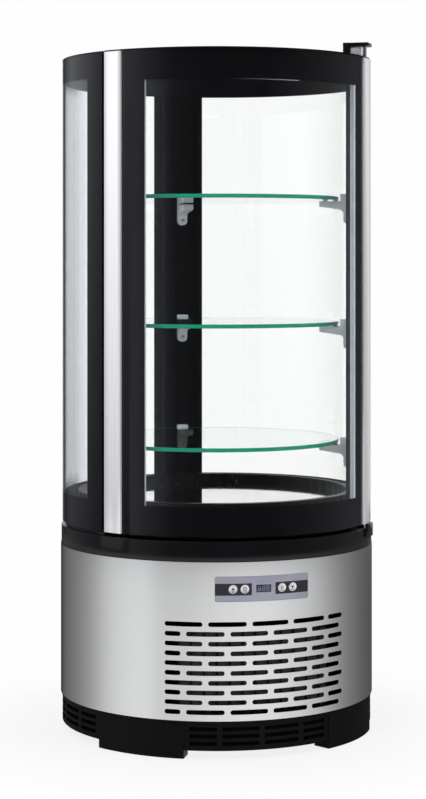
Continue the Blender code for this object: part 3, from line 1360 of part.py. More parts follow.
def build_door_glass():
    spread = (-DOOR_PANE_ANGLE, DOOR_PANE_ANGLE)
    heights = (DOOR_BOTTOM, GLASS_TOP)
    build_pane("door_glass_outer", OUTER_PANE_INNER, GLASS_RADIUS, spread, heights, **ON_DOOR)
    half_angle = DOOR_OPENING_ANGLE - CLEARANCE / INNER_PANE_INNER
    spread = (-half_angle, half_angle)
    heights = (DOOR_OPENING_BOTTOM + CLEARANCE, DOOR_OPENING_TOP - CLEARANCE)
    build_pane("door_glass_inner", INNER_PANE_INNER, INNER_PANE_OUTER, spread, heights, **ON_DOOR)
    build_spacer("door_glass_spacer", spread, heights, **ON_DOOR)


def build_door_frame():
    bm = bmesh.new()
    frame_top = ROOF_BOTTOM + ROOF_THICKNESS / 2
    add_curved_plate(
        bm,
        DOOR_INNER_RADIUS,
        OUTER_PANE_INNER - CLEARANCE,
        (-DOOR_PANE_ANGLE, DOOR_PANE_ANGLE),
        (DOOR_BOTTOM, frame_top),
        ((-DOOR_OPENING_ANGLE, DOOR_OPENING_ANGLE), (DOOR_OPENING_BOTTOM, DOOR_OPENING_TOP)),
    )
    frame = add_part("door_frame", bm, BLACK_PLASTIC, **ON_DOOR)
    cap = bmesh.new()
    cap_inner = DOOR_INNER_RADIUS - STRIP_PROUD / 2
    cap_outer = PANEL_RADIUS
    add_curved_plate(
        cap, cap_inner, cap_outer, (-HANDLE_OUTER_ANGLE, HINGE_OUTER_ANGLE), (ROOF_BOTTOM, ROOF_TOP)
    )
    combine(frame, cap, "UNION")
    hole = bmesh.new()
    start = HINGE_PLACE + Vector((0.0, 0.0, GLASS_TOP))
    bore = HINGE_PIN_RADIUS + BORE_CLEARANCE
    add_cylinder(hole, bore, start, (0.0, 0.0, 4 * ROOF_THICKNESS), segments=16)
    combine(frame, hole, "DIFFERENCE")


def build_door_profiles():
    """Handle and hinge extrusions, which close the ends of the door's double glazing."""
    rise = (0.0, 0.0, GLASS_TOP - DOOR_BOTTOM)
    corners = [
        (DOOR_INNER_RADIUS, -FINGER_RECESS_ANGLE),
        (DOOR_INNER_RADIUS, -STRIP_INNER_ANGLE),
        (STRIP_RADIUS, -STRIP_INNER_ANGLE),
        (STRIP_RADIUS, -HANDLE_OUTER_ANGLE),
        (STRIP_RADIUS - HANDLE_LIP, -HANDLE_OUTER_ANGLE),
        (STRIP_RADIUS - HANDLE_LIP, -FINGER_RECESS_ANGLE),
    ]
    bm = bmesh.new()
    add_prism(bm, polar_points(corners, DOOR_BOTTOM), rise)
    add_part("door_handle", bm, ALUMINIUM, **ON_DOOR)
    corners = [
        (DOOR_INNER_RADIUS, STRIP_INNER_ANGLE),
        (DOOR_INNER_RADIUS, HINGE_OUTER_ANGLE),
        (STRIP_RADIUS, HINGE_OUTER_ANGLE),
        (STRIP_RADIUS, STRIP_INNER_ANGLE),
    ]
    bm = bmesh.new()
    add_prism(bm, polar_points(corners, DOOR_BOTTOM), rise)
    profile = add_part("door_hinge_profile", bm, ALUMINIUM, **ON_DOOR)
    bores = bmesh.new()
    depth = HINGE_PIN_ENGAGEMENT + HINGE_END_PLAY
    bore = HINGE_PIN_RADIUS + BORE_CLEARANCE
    for height in (DOOR_BOTTOM, GLASS_TOP):
        start = HINGE_PLACE + Vector((0.0, 0.0, height - depth))
        add_cylinder(bores, bore, start, (0.0, 0.0, 2 * depth), segments=16)
    combine(profile, bores, "DIFFERENCE")


def build_gasket():
    inner_angle = GASKET_OUTER_ANGLE - GASKET_WIDTH_ANGLE
    bm = bmesh.new()
    add_curved_plate(
        bm,
        SILL_OUTER_RADIUS + CLEARANCE,
        DOOR_INNER_RADIUS - CLEARANCE,
        (-GASKET_OUTER_ANGLE, GASKET_OUTER_ANGLE),
        (GASKET_BOTTOM, GASKET_TOP),
        ((-inner_angle, inner_angle), (GASKET_BOTTOM + GASKET_WIDTH, GASKET_TOP - GASKET_WIDTH)),
    )
    add_part("door_gasket", bm, RUBBER, **ON_DOOR)


build_door_glass()
build_door_frame()
build_door_profiles()
build_gasket()
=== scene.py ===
"""The looks of a round refrigerated display case with a curved glass door.

Metres, +Z up, the front at -Y and the centre line on the Z axis. Angles are measured about the centre
line from the front, positive towards the door's hinges.
"""

from math import cos, pi, radians, sin

import bpy
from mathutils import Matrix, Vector


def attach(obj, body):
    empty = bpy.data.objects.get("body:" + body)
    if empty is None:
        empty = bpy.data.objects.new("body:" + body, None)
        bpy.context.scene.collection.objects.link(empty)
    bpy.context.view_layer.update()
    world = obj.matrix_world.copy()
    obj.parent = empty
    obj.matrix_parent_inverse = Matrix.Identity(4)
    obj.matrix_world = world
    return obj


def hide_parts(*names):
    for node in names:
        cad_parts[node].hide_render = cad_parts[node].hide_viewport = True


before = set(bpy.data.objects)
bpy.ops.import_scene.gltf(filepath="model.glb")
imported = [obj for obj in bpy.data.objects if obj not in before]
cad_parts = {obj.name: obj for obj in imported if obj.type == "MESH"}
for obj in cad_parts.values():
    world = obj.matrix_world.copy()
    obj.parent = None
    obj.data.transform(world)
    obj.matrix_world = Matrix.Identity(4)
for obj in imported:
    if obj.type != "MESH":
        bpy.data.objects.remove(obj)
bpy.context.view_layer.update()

scene = bpy.context.scene

# The studio: a camera at lens height in front, soft lamps overhead, and a pale floor that fades into
# the white backdrop. The lamps' light stops at the panes, so the room's light is stronger past them.
CAMERA_DISTANCE = 3.0077
CAMERA_HEIGHT = 0.6767
CAMERA_TURN = radians(16.1)
BACKDROP_WHITE = (0.990, 0.992, 0.990)
SEEN_THROUGH_GLASS = 1.22
ROOM_LIGHT = 0.45
ROOM_LIGHT_INSIDE = 2.50
FLOOR_HEIGHT = -0.0006
FLOOR_FADE = (0.22, 0.52)

camera_data = bpy.data.cameras.new("camera")
camera_data.sensor_width = 36.0
camera_data.lens = 93.36
camera_data.shift_x = -0.0043
camera_data.shift_y = -0.1795
camera_data.clip_end = 100.0
camera = bpy.data.objects.new("camera", camera_data)
camera.location = (
    -CAMERA_DISTANCE * sin(CAMERA_TURN),
    -CAMERA_DISTANCE * cos(CAMERA_TURN),
    CAMERA_HEIGHT,
)
camera.rotation_euler = (pi / 2, 0.0, -CAMERA_TURN)
scene.collection.objects.link(camera)
scene.camera = camera
scene.view_settings.view_transform = "Standard"


def soft_lamp(name, place, size, power):
    """Large soft lamp that faces the case, out of sight and out of the glossy surfaces."""
    data = bpy.data.lights.new(name, "AREA")
    data.shape = "RECTANGLE"
    data.size, data.size_y = size
    data.energy = power
    lamp = bpy.data.objects.new(name, data)
    lamp.location = place
    lamp.rotation_euler = (Vector((0.0, 0.0, 0.5)) - Vector(place)).to_track_quat("-Z", "Y").to_euler()
    lamp.visible_camera = False
    lamp.visible_glossy = False
    scene.collection.objects.link(lamp)


soft_lamp("lamp_left", (-2.2, -2.4, 2.6), (1.8, 1.4), 48.0)
soft_lamp("lamp_right", (2.4, -1.8, 2.2), (1.6, 1.2), 22.0)
soft_lamp("lamp_top", (0.0, 0.4, 3.4), (2.2, 2.2), 30.0)


def feed(tree, target, wires):
    """Feeds a node's inputs, each with another node's output or a plain value."""
    for where, source in wires.items():
        if isinstance(source, bpy.types.NodeSocket):
            tree.links.new(source, target.inputs[where])
        else:
            target.inputs[where].default_value = source


def new_node(tree, kind, wires=(), **settings):
    """Adds a shader node with its settings, and feeds its inputs."""
    made = tree.nodes.new("ShaderNode" + kind)
    for setting, value in settings.items():
        setattr(made, setting, value)
    feed(tree, made, dict(wires))
    return made


def calculated(tree, operation, first, second):
    """Result of one operation on two outputs or numbers."""
    return new_node(tree, "Math", {0: first, 1: second}, operation=operation).outputs["Value"]


def carried_over(tree, value, span=(0.0, 1.0), onto=(0.0, 1.0), step="LINEAR"):
    """Carries a value over from one span to another."""
    ends = {"From Min": span[0], "From Max": span[1], "To Min": onto[0], "To Max": onto[1], "Value": value}
    return new_node(tree, "MapRange", ends, interpolation_type=step).outputs["Result"]


def mixed(tree, share, first, second):
    """The first shader, and the second one as far as the share goes."""
    return new_node(tree, "MixShader", {0: share, 1: first, 2: second}).outputs["Shader"]


def object_place(tree):
    """Place on the piece."""
    return new_node(tree, "TexCoord").outputs["Object"]


def new_finish(name):
    """New material, its node tree and its main shader."""
    material = bpy.data.materials.new(name)
    material.use_nodes = True
    return material, material.node_tree, material.node_tree.nodes["Principled BSDF"]


def backdrop_rays(tree):
    """How far a ray sees the backdrop, and how strong: camera, gloss and glass rays do, light doesn't."""
    rays = new_node(tree, "LightPath").outputs
    seen = calculated(tree, "MAXIMUM", rays["Is Camera Ray"], rays["Is Glossy Ray"])
    seen = calculated(tree, "MAXIMUM", seen, rays["Is Transmission Ray"])
    direct = calculated(tree, "LESS_THAN", rays["Diffuse Depth"], 0.5)
    strength = carried_over(tree, rays["Is Transmission Ray"], onto=(1.0, SEEN_THROUGH_GLASS))
    return calculated(tree, "MULTIPLY", seen, direct), strength


world = bpy.data.worlds.new("studio")
world.use_nodes = True
scene.world = world
sky = world.node_tree
room_light = sky.nodes["Background"]
past_glass = new_node(sky, "LightPath").outputs["Is Transmission Ray"]
room_level = carried_over(sky, past_glass, onto=(ROOM_LIGHT, ROOM_LIGHT_INSIDE))
feed(sky, room_light, {"Color": (1.0, 1.0, 1.0, 1.0), "Strength": room_level})
backdrop_seen, backdrop_strength = backdrop_rays(sky)
backdrop = new_node(sky, "Background", {"Color": (*BACKDROP_WHITE, 1.0), "Strength": backdrop_strength})
surroundings = mixed(sky, backdrop_seen, room_light.outputs["Background"], backdrop.outputs["Background"])
feed(sky, sky.nodes["World Output"], {"Surface": surroundings})

bpy.ops.object.select_all(action="DESELECT")
floor_middle = (0.0, 0.0, FLOOR_HEIGHT)
bpy.ops.mesh.primitive_circle_add(vertices=96, radius=9.0, fill_type="NGON", location=floor_middle)
floor = bpy.context.object
floor.name = "studio_floor"
floor_finish, floor_tree, floor_paint = new_finish("studio_floor")
pale_paint = {"Base Color": (0.90, 0.90, 0.90, 1.0), "Roughness": 0.55, "Specular IOR Level": 0.1}
feed(floor_tree, floor_paint, pale_paint)
floor_seen, floor_strength = backdrop_rays(floor_tree)
floor_glow = new_node(floor_tree, "Emission", {"Color": (*BACKDROP_WHITE, 1.0), "Strength": floor_strength})
floor_reach = new_node(floor_tree, "VectorMath", {0: object_place(floor_tree)}, operation="LENGTH")
floor_fade = carried_over(floor_tree, floor_reach.outputs["Value"], FLOOR_FADE, (0.84, 1.0), "SMOOTHSTEP")
floor_share = calculated(floor_tree, "MULTIPLY", floor_seen, floor_fade)
floor_surface = mixed(floor_tree, floor_share, floor_paint.outputs["BSDF"], floor_glow.outputs["Emission"])
feed(floor_tree, floor_tree.nodes["Material Output"], {"Surface": floor_surface})
floor.data.materials.append(floor_finish)
floor.visible_glossy = False

# The cards are one ring. Its low part lights the steel base: brightest in front, dim at the sides. Its
# high part is nearly black in front, so that the glass stays dark, and what stands on the left is
# brighter at the top. Two lamp strips beside the door light its aluminium profiles.
CARD_RADIUS = 0.36
CARD_BOTTOM = -0.30
CARD_TOP = 1.40
LOW_CARD_TOP = (0.254, 0.270)
STRIP_BOTTOM = (0.272, 0.283)
LEFT_CARD = (-118.0, -46.0)
MET_SPAN = (-143.0, 136.0)
STREAK_CARD_END = -127.0
LOW_CARD_STOPS = (
    (-180.0, 0.04), (-130.0, 0.05), (-119.0, 0.07), (-110.0, 0.17), (-97.0, 0.25), (-88.0, 0.33),
    (-81.0, 0.41), (-75.0, 0.52), (-69.0, 0.65), (-64.0, 0.81), (-60.0, 0.94), (-55.0, 1.05),
    (-47.0, 1.14), (-37.0, 1.19), (-33.0, 1.13), (-30.0, 1.02), (-27.0, 0.98), (-16.0, 1.00),
    (-6.0, 1.10), (3.0, 1.19), (14.0, 1.25), (24.0, 1.24), (30.0, 1.20), (37.0, 1.10), (43.0, 1.02),
    (53.0, 0.84), (60.0, 0.65), (69.0, 0.46), (80.0, 0.30), (95.0, 0.18), (108.0, 0.13), (180.0, 0.04),
)
HIGH_CARD_STOPS = (
    (-180.0, 1.14), (-141.0, 1.14), (-139.6, 0.92), (-138.4, 0.72), (-136.6, 0.80), (-135.2, 0.62),
    (-134.0, 0.86), (-132.6, 0.62), (-131.0, 0.54), (-129.8, 0.85), (-128.6, 0.90), (-127.5, 0.10),
    (-118.0, 0.08), (-108.0, 0.30), (-100.0, 0.55), (-88.0, 0.62), (-76.0, 0.58), (-66.0, 0.40),
    (-56.0, 0.50), (-42.0, 0.50), (-38.0, 0.38), (-30.0, 0.22), (-22.0, 0.08), (-6.0, 0.04),
    (26.0, 0.04), (38.0, 0.09), (60.0, 0.18), (76.0, 0.22), (92.0, 0.16), (102.0, 0.10), (136.0, 0.05),
)
STRIP_STOPS = (
    (-180.0, 0.0), (-65.5, 0.0), (-65.0, 1.30), (-54.0, 1.30), (-52.0, 1.58), (-50.1, 1.58), (-49.8, 0.0),
    (103.0, 0.0), (104.5, 1.50), (108.0, 1.50), (111.0, 0.62), (134.0, 0.50), (135.0, 0.0), (180.0, 0.0),
)
bpy.ops.object.select_all(action="DESELECT")
bpy.ops.mesh.primitive_cylinder_add(
    vertices=180, radius=CARD_RADIUS, depth=CARD_TOP - CARD_BOTTOM, end_fill_type="NOTHING",
    location=(0.0, 0.0, (CARD_BOTTOM + CARD_TOP) / 2),
)
cards = bpy.context.object
cards.name = "studio_cards"
bpy.ops.object.transform_apply()


def azimuth(tree, axes):
    """Angle about the centre line, from the front."""
    return calculated(tree, "ARCTAN2", axes["X"], calculated(tree, "MULTIPLY", axes["Y"], -1.0))


def ramp(tree, value, stops):
    """Colour ramp through (place, colour) stops."""
    made = new_node(tree, "ValToRGB", {"Fac": value})
    elements = made.color_ramp.elements
    elements.remove(elements[1])
    for number, (place, colour) in enumerate(stops):
        stop = elements[0] if number == 0 else elements.new(place)
        stop.position = place
        stop.color = (*colour, 1.0)
    return made.outputs["Color"]


card_finish, card_tree, _ = new_finish("studio_cards")
facing_lens = {"Vector": object_place(card_tree), "Angle": CAMERA_TURN}
card_place = new_node(card_tree, "VectorRotate", facing_lens, rotation_type="Z_AXIS").outputs["Vector"]
card_axes = new_node(card_tree, "SeparateXYZ", {"Vector": card_place}).outputs
card_height = card_axes["Z"]
card_azimuth = azimuth(card_tree, card_axes)
card_round = carried_over(card_tree, card_azimuth, (-pi, pi))
card_rays = new_node(card_tree, "LightPath").outputs


def product(first, second):
    """Product of two values on the ring."""
    return calculated(card_tree, "MULTIPLY", first, second)


def card_between(span):
    """One between two angles about the ring, nought elsewhere."""
    past_low = calculated(card_tree, "GREATER_THAN", card_azimuth, radians(span[0]))
    return product(past_low, calculated(card_tree, "LESS_THAN", card_azimuth, radians(span[1])))


def card_glow(stops, scale, strength, tint=(1.0, 1.0, 1.0)):
    """Light of one part of the ring, from (degrees, glow) stops about it."""
    colours = [((angle + 180.0) / 360.0, [glow / scale * part for part in tint]) for angle, glow in stops]
    wires = {"Color": ramp(card_tree, card_round, colours), "Strength": product(strength, scale)}
    return new_node(card_tree, "Emission", wires).outputs["Emission"]


card_rise = carried_over(card_tree, card_height, (0.30, 0.98), (0.36, 1.10))
rise_on_left = {"Factor": card_between(LEFT_CARD), "A": 1.0, "B": card_rise}
level = new_node(card_tree, "Mix", rise_on_left).outputs["Result"]
unglazed = calculated(card_tree, "LESS_THAN", card_rays["Transmission Depth"], 0.5)
above_ring = carried_over(card_tree, card_height, STRIP_BOTTOM, step="SMOOTHSTEP")
high_and_strips = new_node(card_tree, "AddShader", {
    0: card_glow(HIGH_CARD_STOPS, 1.2, level, (0.96, 0.98, 1.06)),
    1: card_glow(STRIP_STOPS, 1.6, product(product(level, unglazed), above_ring)),
}).outputs["Shader"]
above_base = carried_over(card_tree, card_height, LOW_CARD_TOP, step="SMOOTHSTEP")
card_light = mixed(card_tree, above_base, card_glow(LOW_CARD_STOPS, 1.3, 1.0), high_and_strips)

# Only reflections meet the ring. What is seen straight through the glass is the backdrop, but for a
# narrow card behind the left window that draws its pale streaks. Behind the case the ring is open.
reflected = calculated(card_tree, "GREATER_THAN", card_rays["Glossy Depth"], 0.5)
behind_left = calculated(card_tree, "LESS_THAN", card_azimuth, radians(STREAK_CARD_END))
undiffused = calculated(card_tree, "LESS_THAN", card_rays["Diffuse Depth"], 0.5)
met = product(calculated(card_tree, "MAXIMUM", reflected, behind_left), card_between(MET_SPAN))
card_open = new_node(card_tree, "BsdfTransparent").outputs["BSDF"]
card_surface = mixed(card_tree, product(met, undiffused), card_open, card_light)
feed(card_tree, card_tree.nodes["Material Output"], {"Surface": card_surface})
cards.data.materials.append(card_finish)
cards.visible_camera = False
cards.visible_diffuse = False
cards.visible_shadow = False

# Plinth: one black moulding with a flange inside, four broad feet and three rows of air slots between
# them. It is moulded in a fine grain and screwed up into the base from the front.
ARC_STEP = radians(1.5)
SMOOTH_ANGLE = radians(30.0)
PLINTH_RADIUS = 0.2235
PLINTH_INNER_RADIUS = 0.2195
PLINTH_RECESS_RADIUS = 0.2227
PLINTH_FLANGE_RADIUS = 0.1995
PLINTH_BOTTOM = 0.0112
PLINTH_FLANGE_TOP = 0.0142
PLINTH_TOP = 0.0600
FOOT_INNER_RADIUS = 0.1965
FOOT_ANGLE = radians(45.0)
FOOT_HALF_ANGLE = radians(17.5)
PLINTH_SLOT_HEIGHT = 0.0052
PLINTH_SLOT_PITCH = 0.0098
PLINTH_SLOT_LOWEST = 0.01823
PLINTH_SLOT_SPANS = ((-25.5, -16.0), (-14.0, -1.0), (1.0, 14.0), (16.0, 25.5))
INK_BLACK = (0.0036, 0.0036, 0.0040)


def polar(radius, angle, height=0.0):
    """The point at an angle from the front, measured towards the hinge side."""
    return Vector((radius * sin(angle), -radius * cos(angle), height))


def turned(name, outline, segments=240, is_ring=True):
    """Turned form: a circle pulled from point to point of (radius, height), then closed."""
    radius, height = outline[0]
    bpy.ops.object.select_all(action="DESELECT")
    bpy.ops.mesh.primitive_circle_add(vertices=segments, radius=radius, location=(0.0, 0.0, height))
    form = bpy.context.object
    form.name = name
    bpy.ops.object.transform_apply()
    bpy.ops.object.mode_set(mode="EDIT")
    bpy.ops.mesh.select_all(action="SELECT")
    for next_radius, next_height in outline[1:]:
        rise = {"value": (0.0, 0.0, next_height - height)}
        bpy.ops.mesh.extrude_edges_move(TRANSFORM_OT_translate=rise)
        share = next_radius / radius
        bpy.ops.transform.resize(value=(share, share, 1.0), center_override=(0.0, 0.0, next_height))
        radius, height = next_radius, next_height
    bpy.ops.mesh.select_all(action="DESELECT")
    bpy.ops.mesh.select_non_manifold()
    if is_ring:
        bpy.ops.mesh.bridge_edge_loops()
    else:
        bpy.ops.mesh.fill_holes(sides=0)
    bpy.ops.mesh.select_all(action="SELECT")
    bpy.ops.mesh.normals_make_consistent(inside=False)
    bpy.ops.object.mode_set(mode="OBJECT")
    return form


def swept_bar(name, radii, heights, angles):
    """Curved bar: a plane the size of its section, spun about the centre line."""
    centre = (0.0, -(radii[0] + radii[1]) / 2, (heights[0] + heights[1]) / 2)
    bpy.ops.object.select_all(action="DESELECT")
    bpy.ops.mesh.primitive_plane_add(size=1.0, location=centre, rotation=(0.0, pi / 2, 0.0))
    bar = bpy.context.object
    bar.name = name
    bar.scale = (heights[1] - heights[0], radii[1] - radii[0], 1.0)
    bpy.ops.object.transform_apply()
    bpy.ops.object.mode_set(mode="EDIT")
    bpy.ops.mesh.select_all(action="SELECT")
    sweep = angles[1] - angles[0]
    steps = max(1, round(sweep / ARC_STEP))
    bpy.ops.mesh.spin(steps=steps, angle=sweep, center=(0.0, 0.0, 0.0), axis=(0.0, 0.0, -1.0))
    bpy.ops.mesh.select_all(action="SELECT")
    bpy.ops.mesh.normals_make_consistent(inside=False)
    bpy.ops.object.mode_set(mode="OBJECT")
    bar.rotation_euler.z = angles[0]
    bpy.ops.object.transform_apply()
    return bar


def pick(*pieces):
    """Selects the pieces alone, the first one active."""
    bpy.ops.object.select_all(action="DESELECT")
    for piece in pieces:
        piece.select_set(True)
    bpy.context.view_layer.objects.active = pieces[0]


def joined(pieces):
    """The pieces as one mesh, under the first one's name."""
    pick(*pieces)
    bpy.ops.object.join()
    return pieces[0]


def placed(piece, turn=(0.0, 0.0, 0.0), place=(0.0, 0.0, 0.0)):
    """Turns a piece, moves it and applies both."""
    piece.rotation_euler = turn
    piece.location = place
    pick(piece)
    bpy.ops.object.transform_apply()
    return piece


def turned_copy(piece, angle, rise=0.0):
    """Copy with its own mesh, turned about the centre line and lifted."""
    copy = piece.copy()
    copy.data = piece.data.copy()
    scene.collection.objects.link(copy)
    return placed(copy, (0.0, 0.0, angle), (0.0, 0.0, rise))


def shaped_by(piece, tool, operation):
    """Adds or cuts away the tool's form, and removes the tool."""
    boolean = piece.modifiers.new("shape", "BOOLEAN")
    boolean.operation = operation
    boolean.solver = "EXACT"
    boolean.object = tool
    pick(piece)
    bpy.ops.object.modifier_apply(modifier="shape")
    bpy.data.objects.remove(tool)


def shaded(piece, sharp=SMOOTH_ANGLE):
    """Shades a piece smooth, but for its sharp edges."""
    pick(piece)
    bpy.ops.object.shade_smooth_by_angle(angle=sharp)


def softened(piece, width, segments=2):
    """Rounds the sharp edges, and shades the round stretches smooth."""
    pick(piece)
    bevel = piece.modifiers.new("edges", "BEVEL")
    bevel.width = width
    bevel.segments = segments
    bevel.limit_method = "ANGLE"
    bevel.angle_limit = SMOOTH_ANGLE
    bevel.harden_normals = True
    bpy.ops.object.modifier_apply(modifier="edges")
    shaded(piece)


def smoothed(piece):
    """Shades a cut curved sheet smooth, led by its large faces, and keeps its edges sharp."""
    shaded(piece)
    weighted = piece.modifiers.new("weighted", "WEIGHTED_NORMAL")
    weighted.keep_sharp = True
    weighted.weight = 90
    bpy.ops.object.modifier_apply(modifier="weighted")


def finished(piece, material, body, slot, *nodes):
    """Gives a piece its finish and its body, and hides the nodes it stands for."""
    piece.data.materials.append(material)
    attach(piece, body)
    if nodes:
        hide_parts(*nodes)


def noise(tree, place, scale, detail):
    """Cloudy value."""
    return new_node(tree, "TexNoise", {"Vector": place, "Scale": scale, "Detail": detail}).outputs["Fac"]


def scaled(colour, share):
    """A lighter or darker colour."""
    return [min(1.0, share * part) for part in colour]


def surfaced(tree, shader, cloud, tones, fine, sheen, span, strength, depth):
    """Feeds a shader its colour from one cloud, and its gloss and height from a finer one."""
    bump = {"Strength": strength, "Distance": depth, "Height": fine}
    feed(tree, shader, {
        "Base Color": ramp(tree, cloud, zip(span, tones)),
        "Roughness": carried_over(tree, fine, span, sheen),
        "Normal": new_node(tree, "Bump", bump).outputs["Normal"],
    })


def grained(
    name, colour, roughness, metallic=0.0, gloss=0.5, grain=900.0, depth=0.00004, stretch=(1, 1, 1), glow=()
):
    """Finish with cloudy colour, uneven gloss and a fine grain that may be drawn out; it may glow, as a
    lamp's lens or as painted light.
    """
    material, tree, shader = new_finish(name)
    feed(tree, shader, {"Metallic": metallic, "Specular IOR Level": gloss})
    if glow:
        feed(tree, shader, {"Emission Color": (*glow[0], 1.0), "Emission Strength": glow[1]})
    place = object_place(tree)
    drawn = new_node(tree, "Mapping", {"Vector": place, "Scale": stretch}).outputs["Vector"]
    cloud = noise(tree, place, 14.0, 5.0)
    fine = noise(tree, drawn, grain, 2.0)
    tones = (scaled(colour, 0.90), scaled(colour, 1.08))
    sheen = (0.85 * roughness, min(1.0, 1.15 * roughness))
    surfaced(tree, shader, cloud, tones, fine, sheen, (0.3, 0.7), 0.5, depth)
    return material


plinth_plastic = grained("moulded_black", INK_BLACK, 0.42, gloss=0.05, grain=1400.0, depth=0.00006)
plinth = turned("plinth_moulding", [
    (PLINTH_FLANGE_RADIUS, PLINTH_BOTTOM), (PLINTH_RECESS_RADIUS, PLINTH_BOTTOM),
    (PLINTH_RECESS_RADIUS, 0.0465), (PLINTH_RADIUS, 0.0473), (PLINTH_RADIUS, PLINTH_TOP),
    (PLINTH_INNER_RADIUS, PLINTH_TOP), (PLINTH_INNER_RADIUS, PLINTH_FLANGE_TOP),
    (PLINTH_FLANGE_RADIUS, PLINTH_FLANGE_TOP),
])
foot_blocks = []
foot_faces = []
for quarter in range(4):
    middle = FOOT_ANGLE + quarter * pi / 2
    span = (middle - FOOT_HALF_ANGLE, middle + FOOT_HALF_ANGLE)
    foot_blocks.append(swept_bar("foot", (FOOT_INNER_RADIUS, PLINTH_RADIUS), (0.0, 0.0127), span))
    foot_faces.append(swept_bar("foot_face", (0.2211, PLINTH_RADIUS), (0.0120, 0.0469), span))
shaped_by(plinth, joined(foot_blocks), "UNION")
shaped_by(plinth, joined(foot_faces), "UNION")
plinth_slots = []
for low, high in PLINTH_SLOT_SPANS:
    for row in range(3):
        bottom = PLINTH_SLOT_LOWEST + row * PLINTH_SLOT_PITCH
        heights = (bottom, bottom + PLINTH_SLOT_HEIGHT)
        plinth_slots.append(swept_bar("air_slot", (0.2163, 0.2267), heights, (radians(low), radians(high))))
front_slots = joined(plinth_slots)
side_slots = [turned_copy(front_slots, quarter * pi / 2) for quarter in (1, 2, 3)]
shaped_by(plinth, joined([front_slots, *side_slots]), "DIFFERENCE")
smoothed(plinth)
finished(plinth, plinth_plastic, "cabinet", "black_plastic", "plinth")

# Slot shade band: black foam that stands on the chassis plate behind the plinth's air slots, all the way
# round. Its black is painted shade, the dark inside of the base seen through the slots.
DUST_STRIP_RADII = (0.2176, 0.2191)
DUST_STRIP_HEIGHTS = (0.0168, 0.0452)

# This foam's near-black colour is painted shade behind the air slots.
slot_shade_foam = grained("slot_shade_foam", (0.004, 0.004, 0.004), 0.90, gloss=0.0, depth=0.0004)
slot_shade_band = turned("slot_shade_band", [
    (DUST_STRIP_RADII[0], DUST_STRIP_HEIGHTS[0]), (DUST_STRIP_RADII[1], DUST_STRIP_HEIGHTS[0]),
    (DUST_STRIP_RADII[1], DUST_STRIP_HEIGHTS[1]), (DUST_STRIP_RADII[0], DUST_STRIP_HEIGHTS[1]),
])
softened(slot_shade_band, 0.0003)
finished(slot_shade_band, slot_shade_foam, "cabinet", "black_plastic")

# Screws: zinc-plated or blackened pan heads with a cross recess. One holds the plinth's front, and
# others hold the sill and the shelf brackets.
PLINTH_SCREW_ANGLE = radians(-15.0)
PLINTH_SCREW_HEIGHT = 0.0545


def box(centre, size, turn=0.0):
    """Box about its centre, turned about its own upright."""
    bpy.ops.object.select_all(action="DESELECT")
    bpy.ops.mesh.primitive_cube_add(size=1.0, location=centre, rotation=(0.0, 0.0, turn))
    made = bpy.context.object
    made.scale = size
    bpy.ops.object.transform_apply()
    return made


def screw(name, radius, place, angle):
    """Pan-head screw whose head faces out from the centre line."""
    outline = ((1.0, 0.0), (1.0, 0.35), (0.72, 0.72), (0.30, 0.86))
    head = turned(name, [(radius * out, radius * up) for out, up in outline], segments=28, is_ring=False)
    for turn in (0.0, pi / 2):
        blade = box((0.0, 0.0, 0.80 * radius), (1.1 * radius, 0.22 * radius, 0.60 * radius), turn)
        shaped_by(head, blade, "DIFFERENCE")
    shaded(head)
    return placed(head, (pi / 2, 0.0, angle), place)


zinc_screw = grained("zinc_screw", (0.55, 0.56, 0.58), 0.30, metallic=1.0, grain=2200.0, depth=0.00002)
screw_place = polar(PLINTH_RADIUS - 0.0014, PLINTH_SCREW_ANGLE, PLINTH_SCREW_HEIGHT)
plinth_screw = screw("plinth_screw", 0.0019, screw_place, PLINTH_SCREW_ANGLE)
finished(plinth_screw, plinth_plastic, "cabinet", "black_plastic")

# Machinery on the chassis plate: it shows only through the air slots. The parts are bought in: a
# painted compressor can, a black condenser, moulded fans, plated motors and a copper line.


def refinished(material, *names):
    """Gives CAD nodes that show as they are their finish."""
    for name in names:
        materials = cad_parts[name].data.materials
        materials.clear()
        materials.append(material)


zinc_sheet = grained("zinc_sheet", (0.46, 0.47, 0.48), 0.42, metallic=1.0, grain=260.0, depth=0.00003)
refinished(zinc_sheet, "chassis_plate", "condenser_fan_motor", "evaporator_fan_motor")
black_enamel = grained("black_enamel", (0.010, 0.010, 0.011), 0.34, gloss=0.4, grain=500.0, depth=0.00005)
refinished(black_enamel, "compressor", "condenser")
fan_plastic = grained("fan_plastic", (0.013, 0.013, 0.014), 0.50, gloss=0.3, grain=1100.0, depth=0.00005)
refinished(fan_plastic, "fan_shroud", "condenser_fan", "evaporator_fan", "drip_tray")
bare_aluminium = grained("bare_aluminium", (0.70, 0.71, 0.72), 0.36, metallic=1.0, grain=500.0, depth=0.00003)
refinished(bare_aluminium, "evaporator")
copper_tube = grained("copper_tube", (0.66, 0.31, 0.19), 0.28, metallic=1.0, grain=420.0, depth=0.00002)
refinished(copper_tube, "refrigerant_line")
tub_foam = grained("tub_lining", (0.72, 0.72, 0.70), 0.55, gloss=0.3, grain=700.0, depth=0.00006)
refinished(tub_foam, "floor_tub")
board_resin = grained("board_resin", (0.020, 0.120, 0.055), 0.38, grain=1500.0, depth=0.00002)
refinished(board_resin, "control_board")

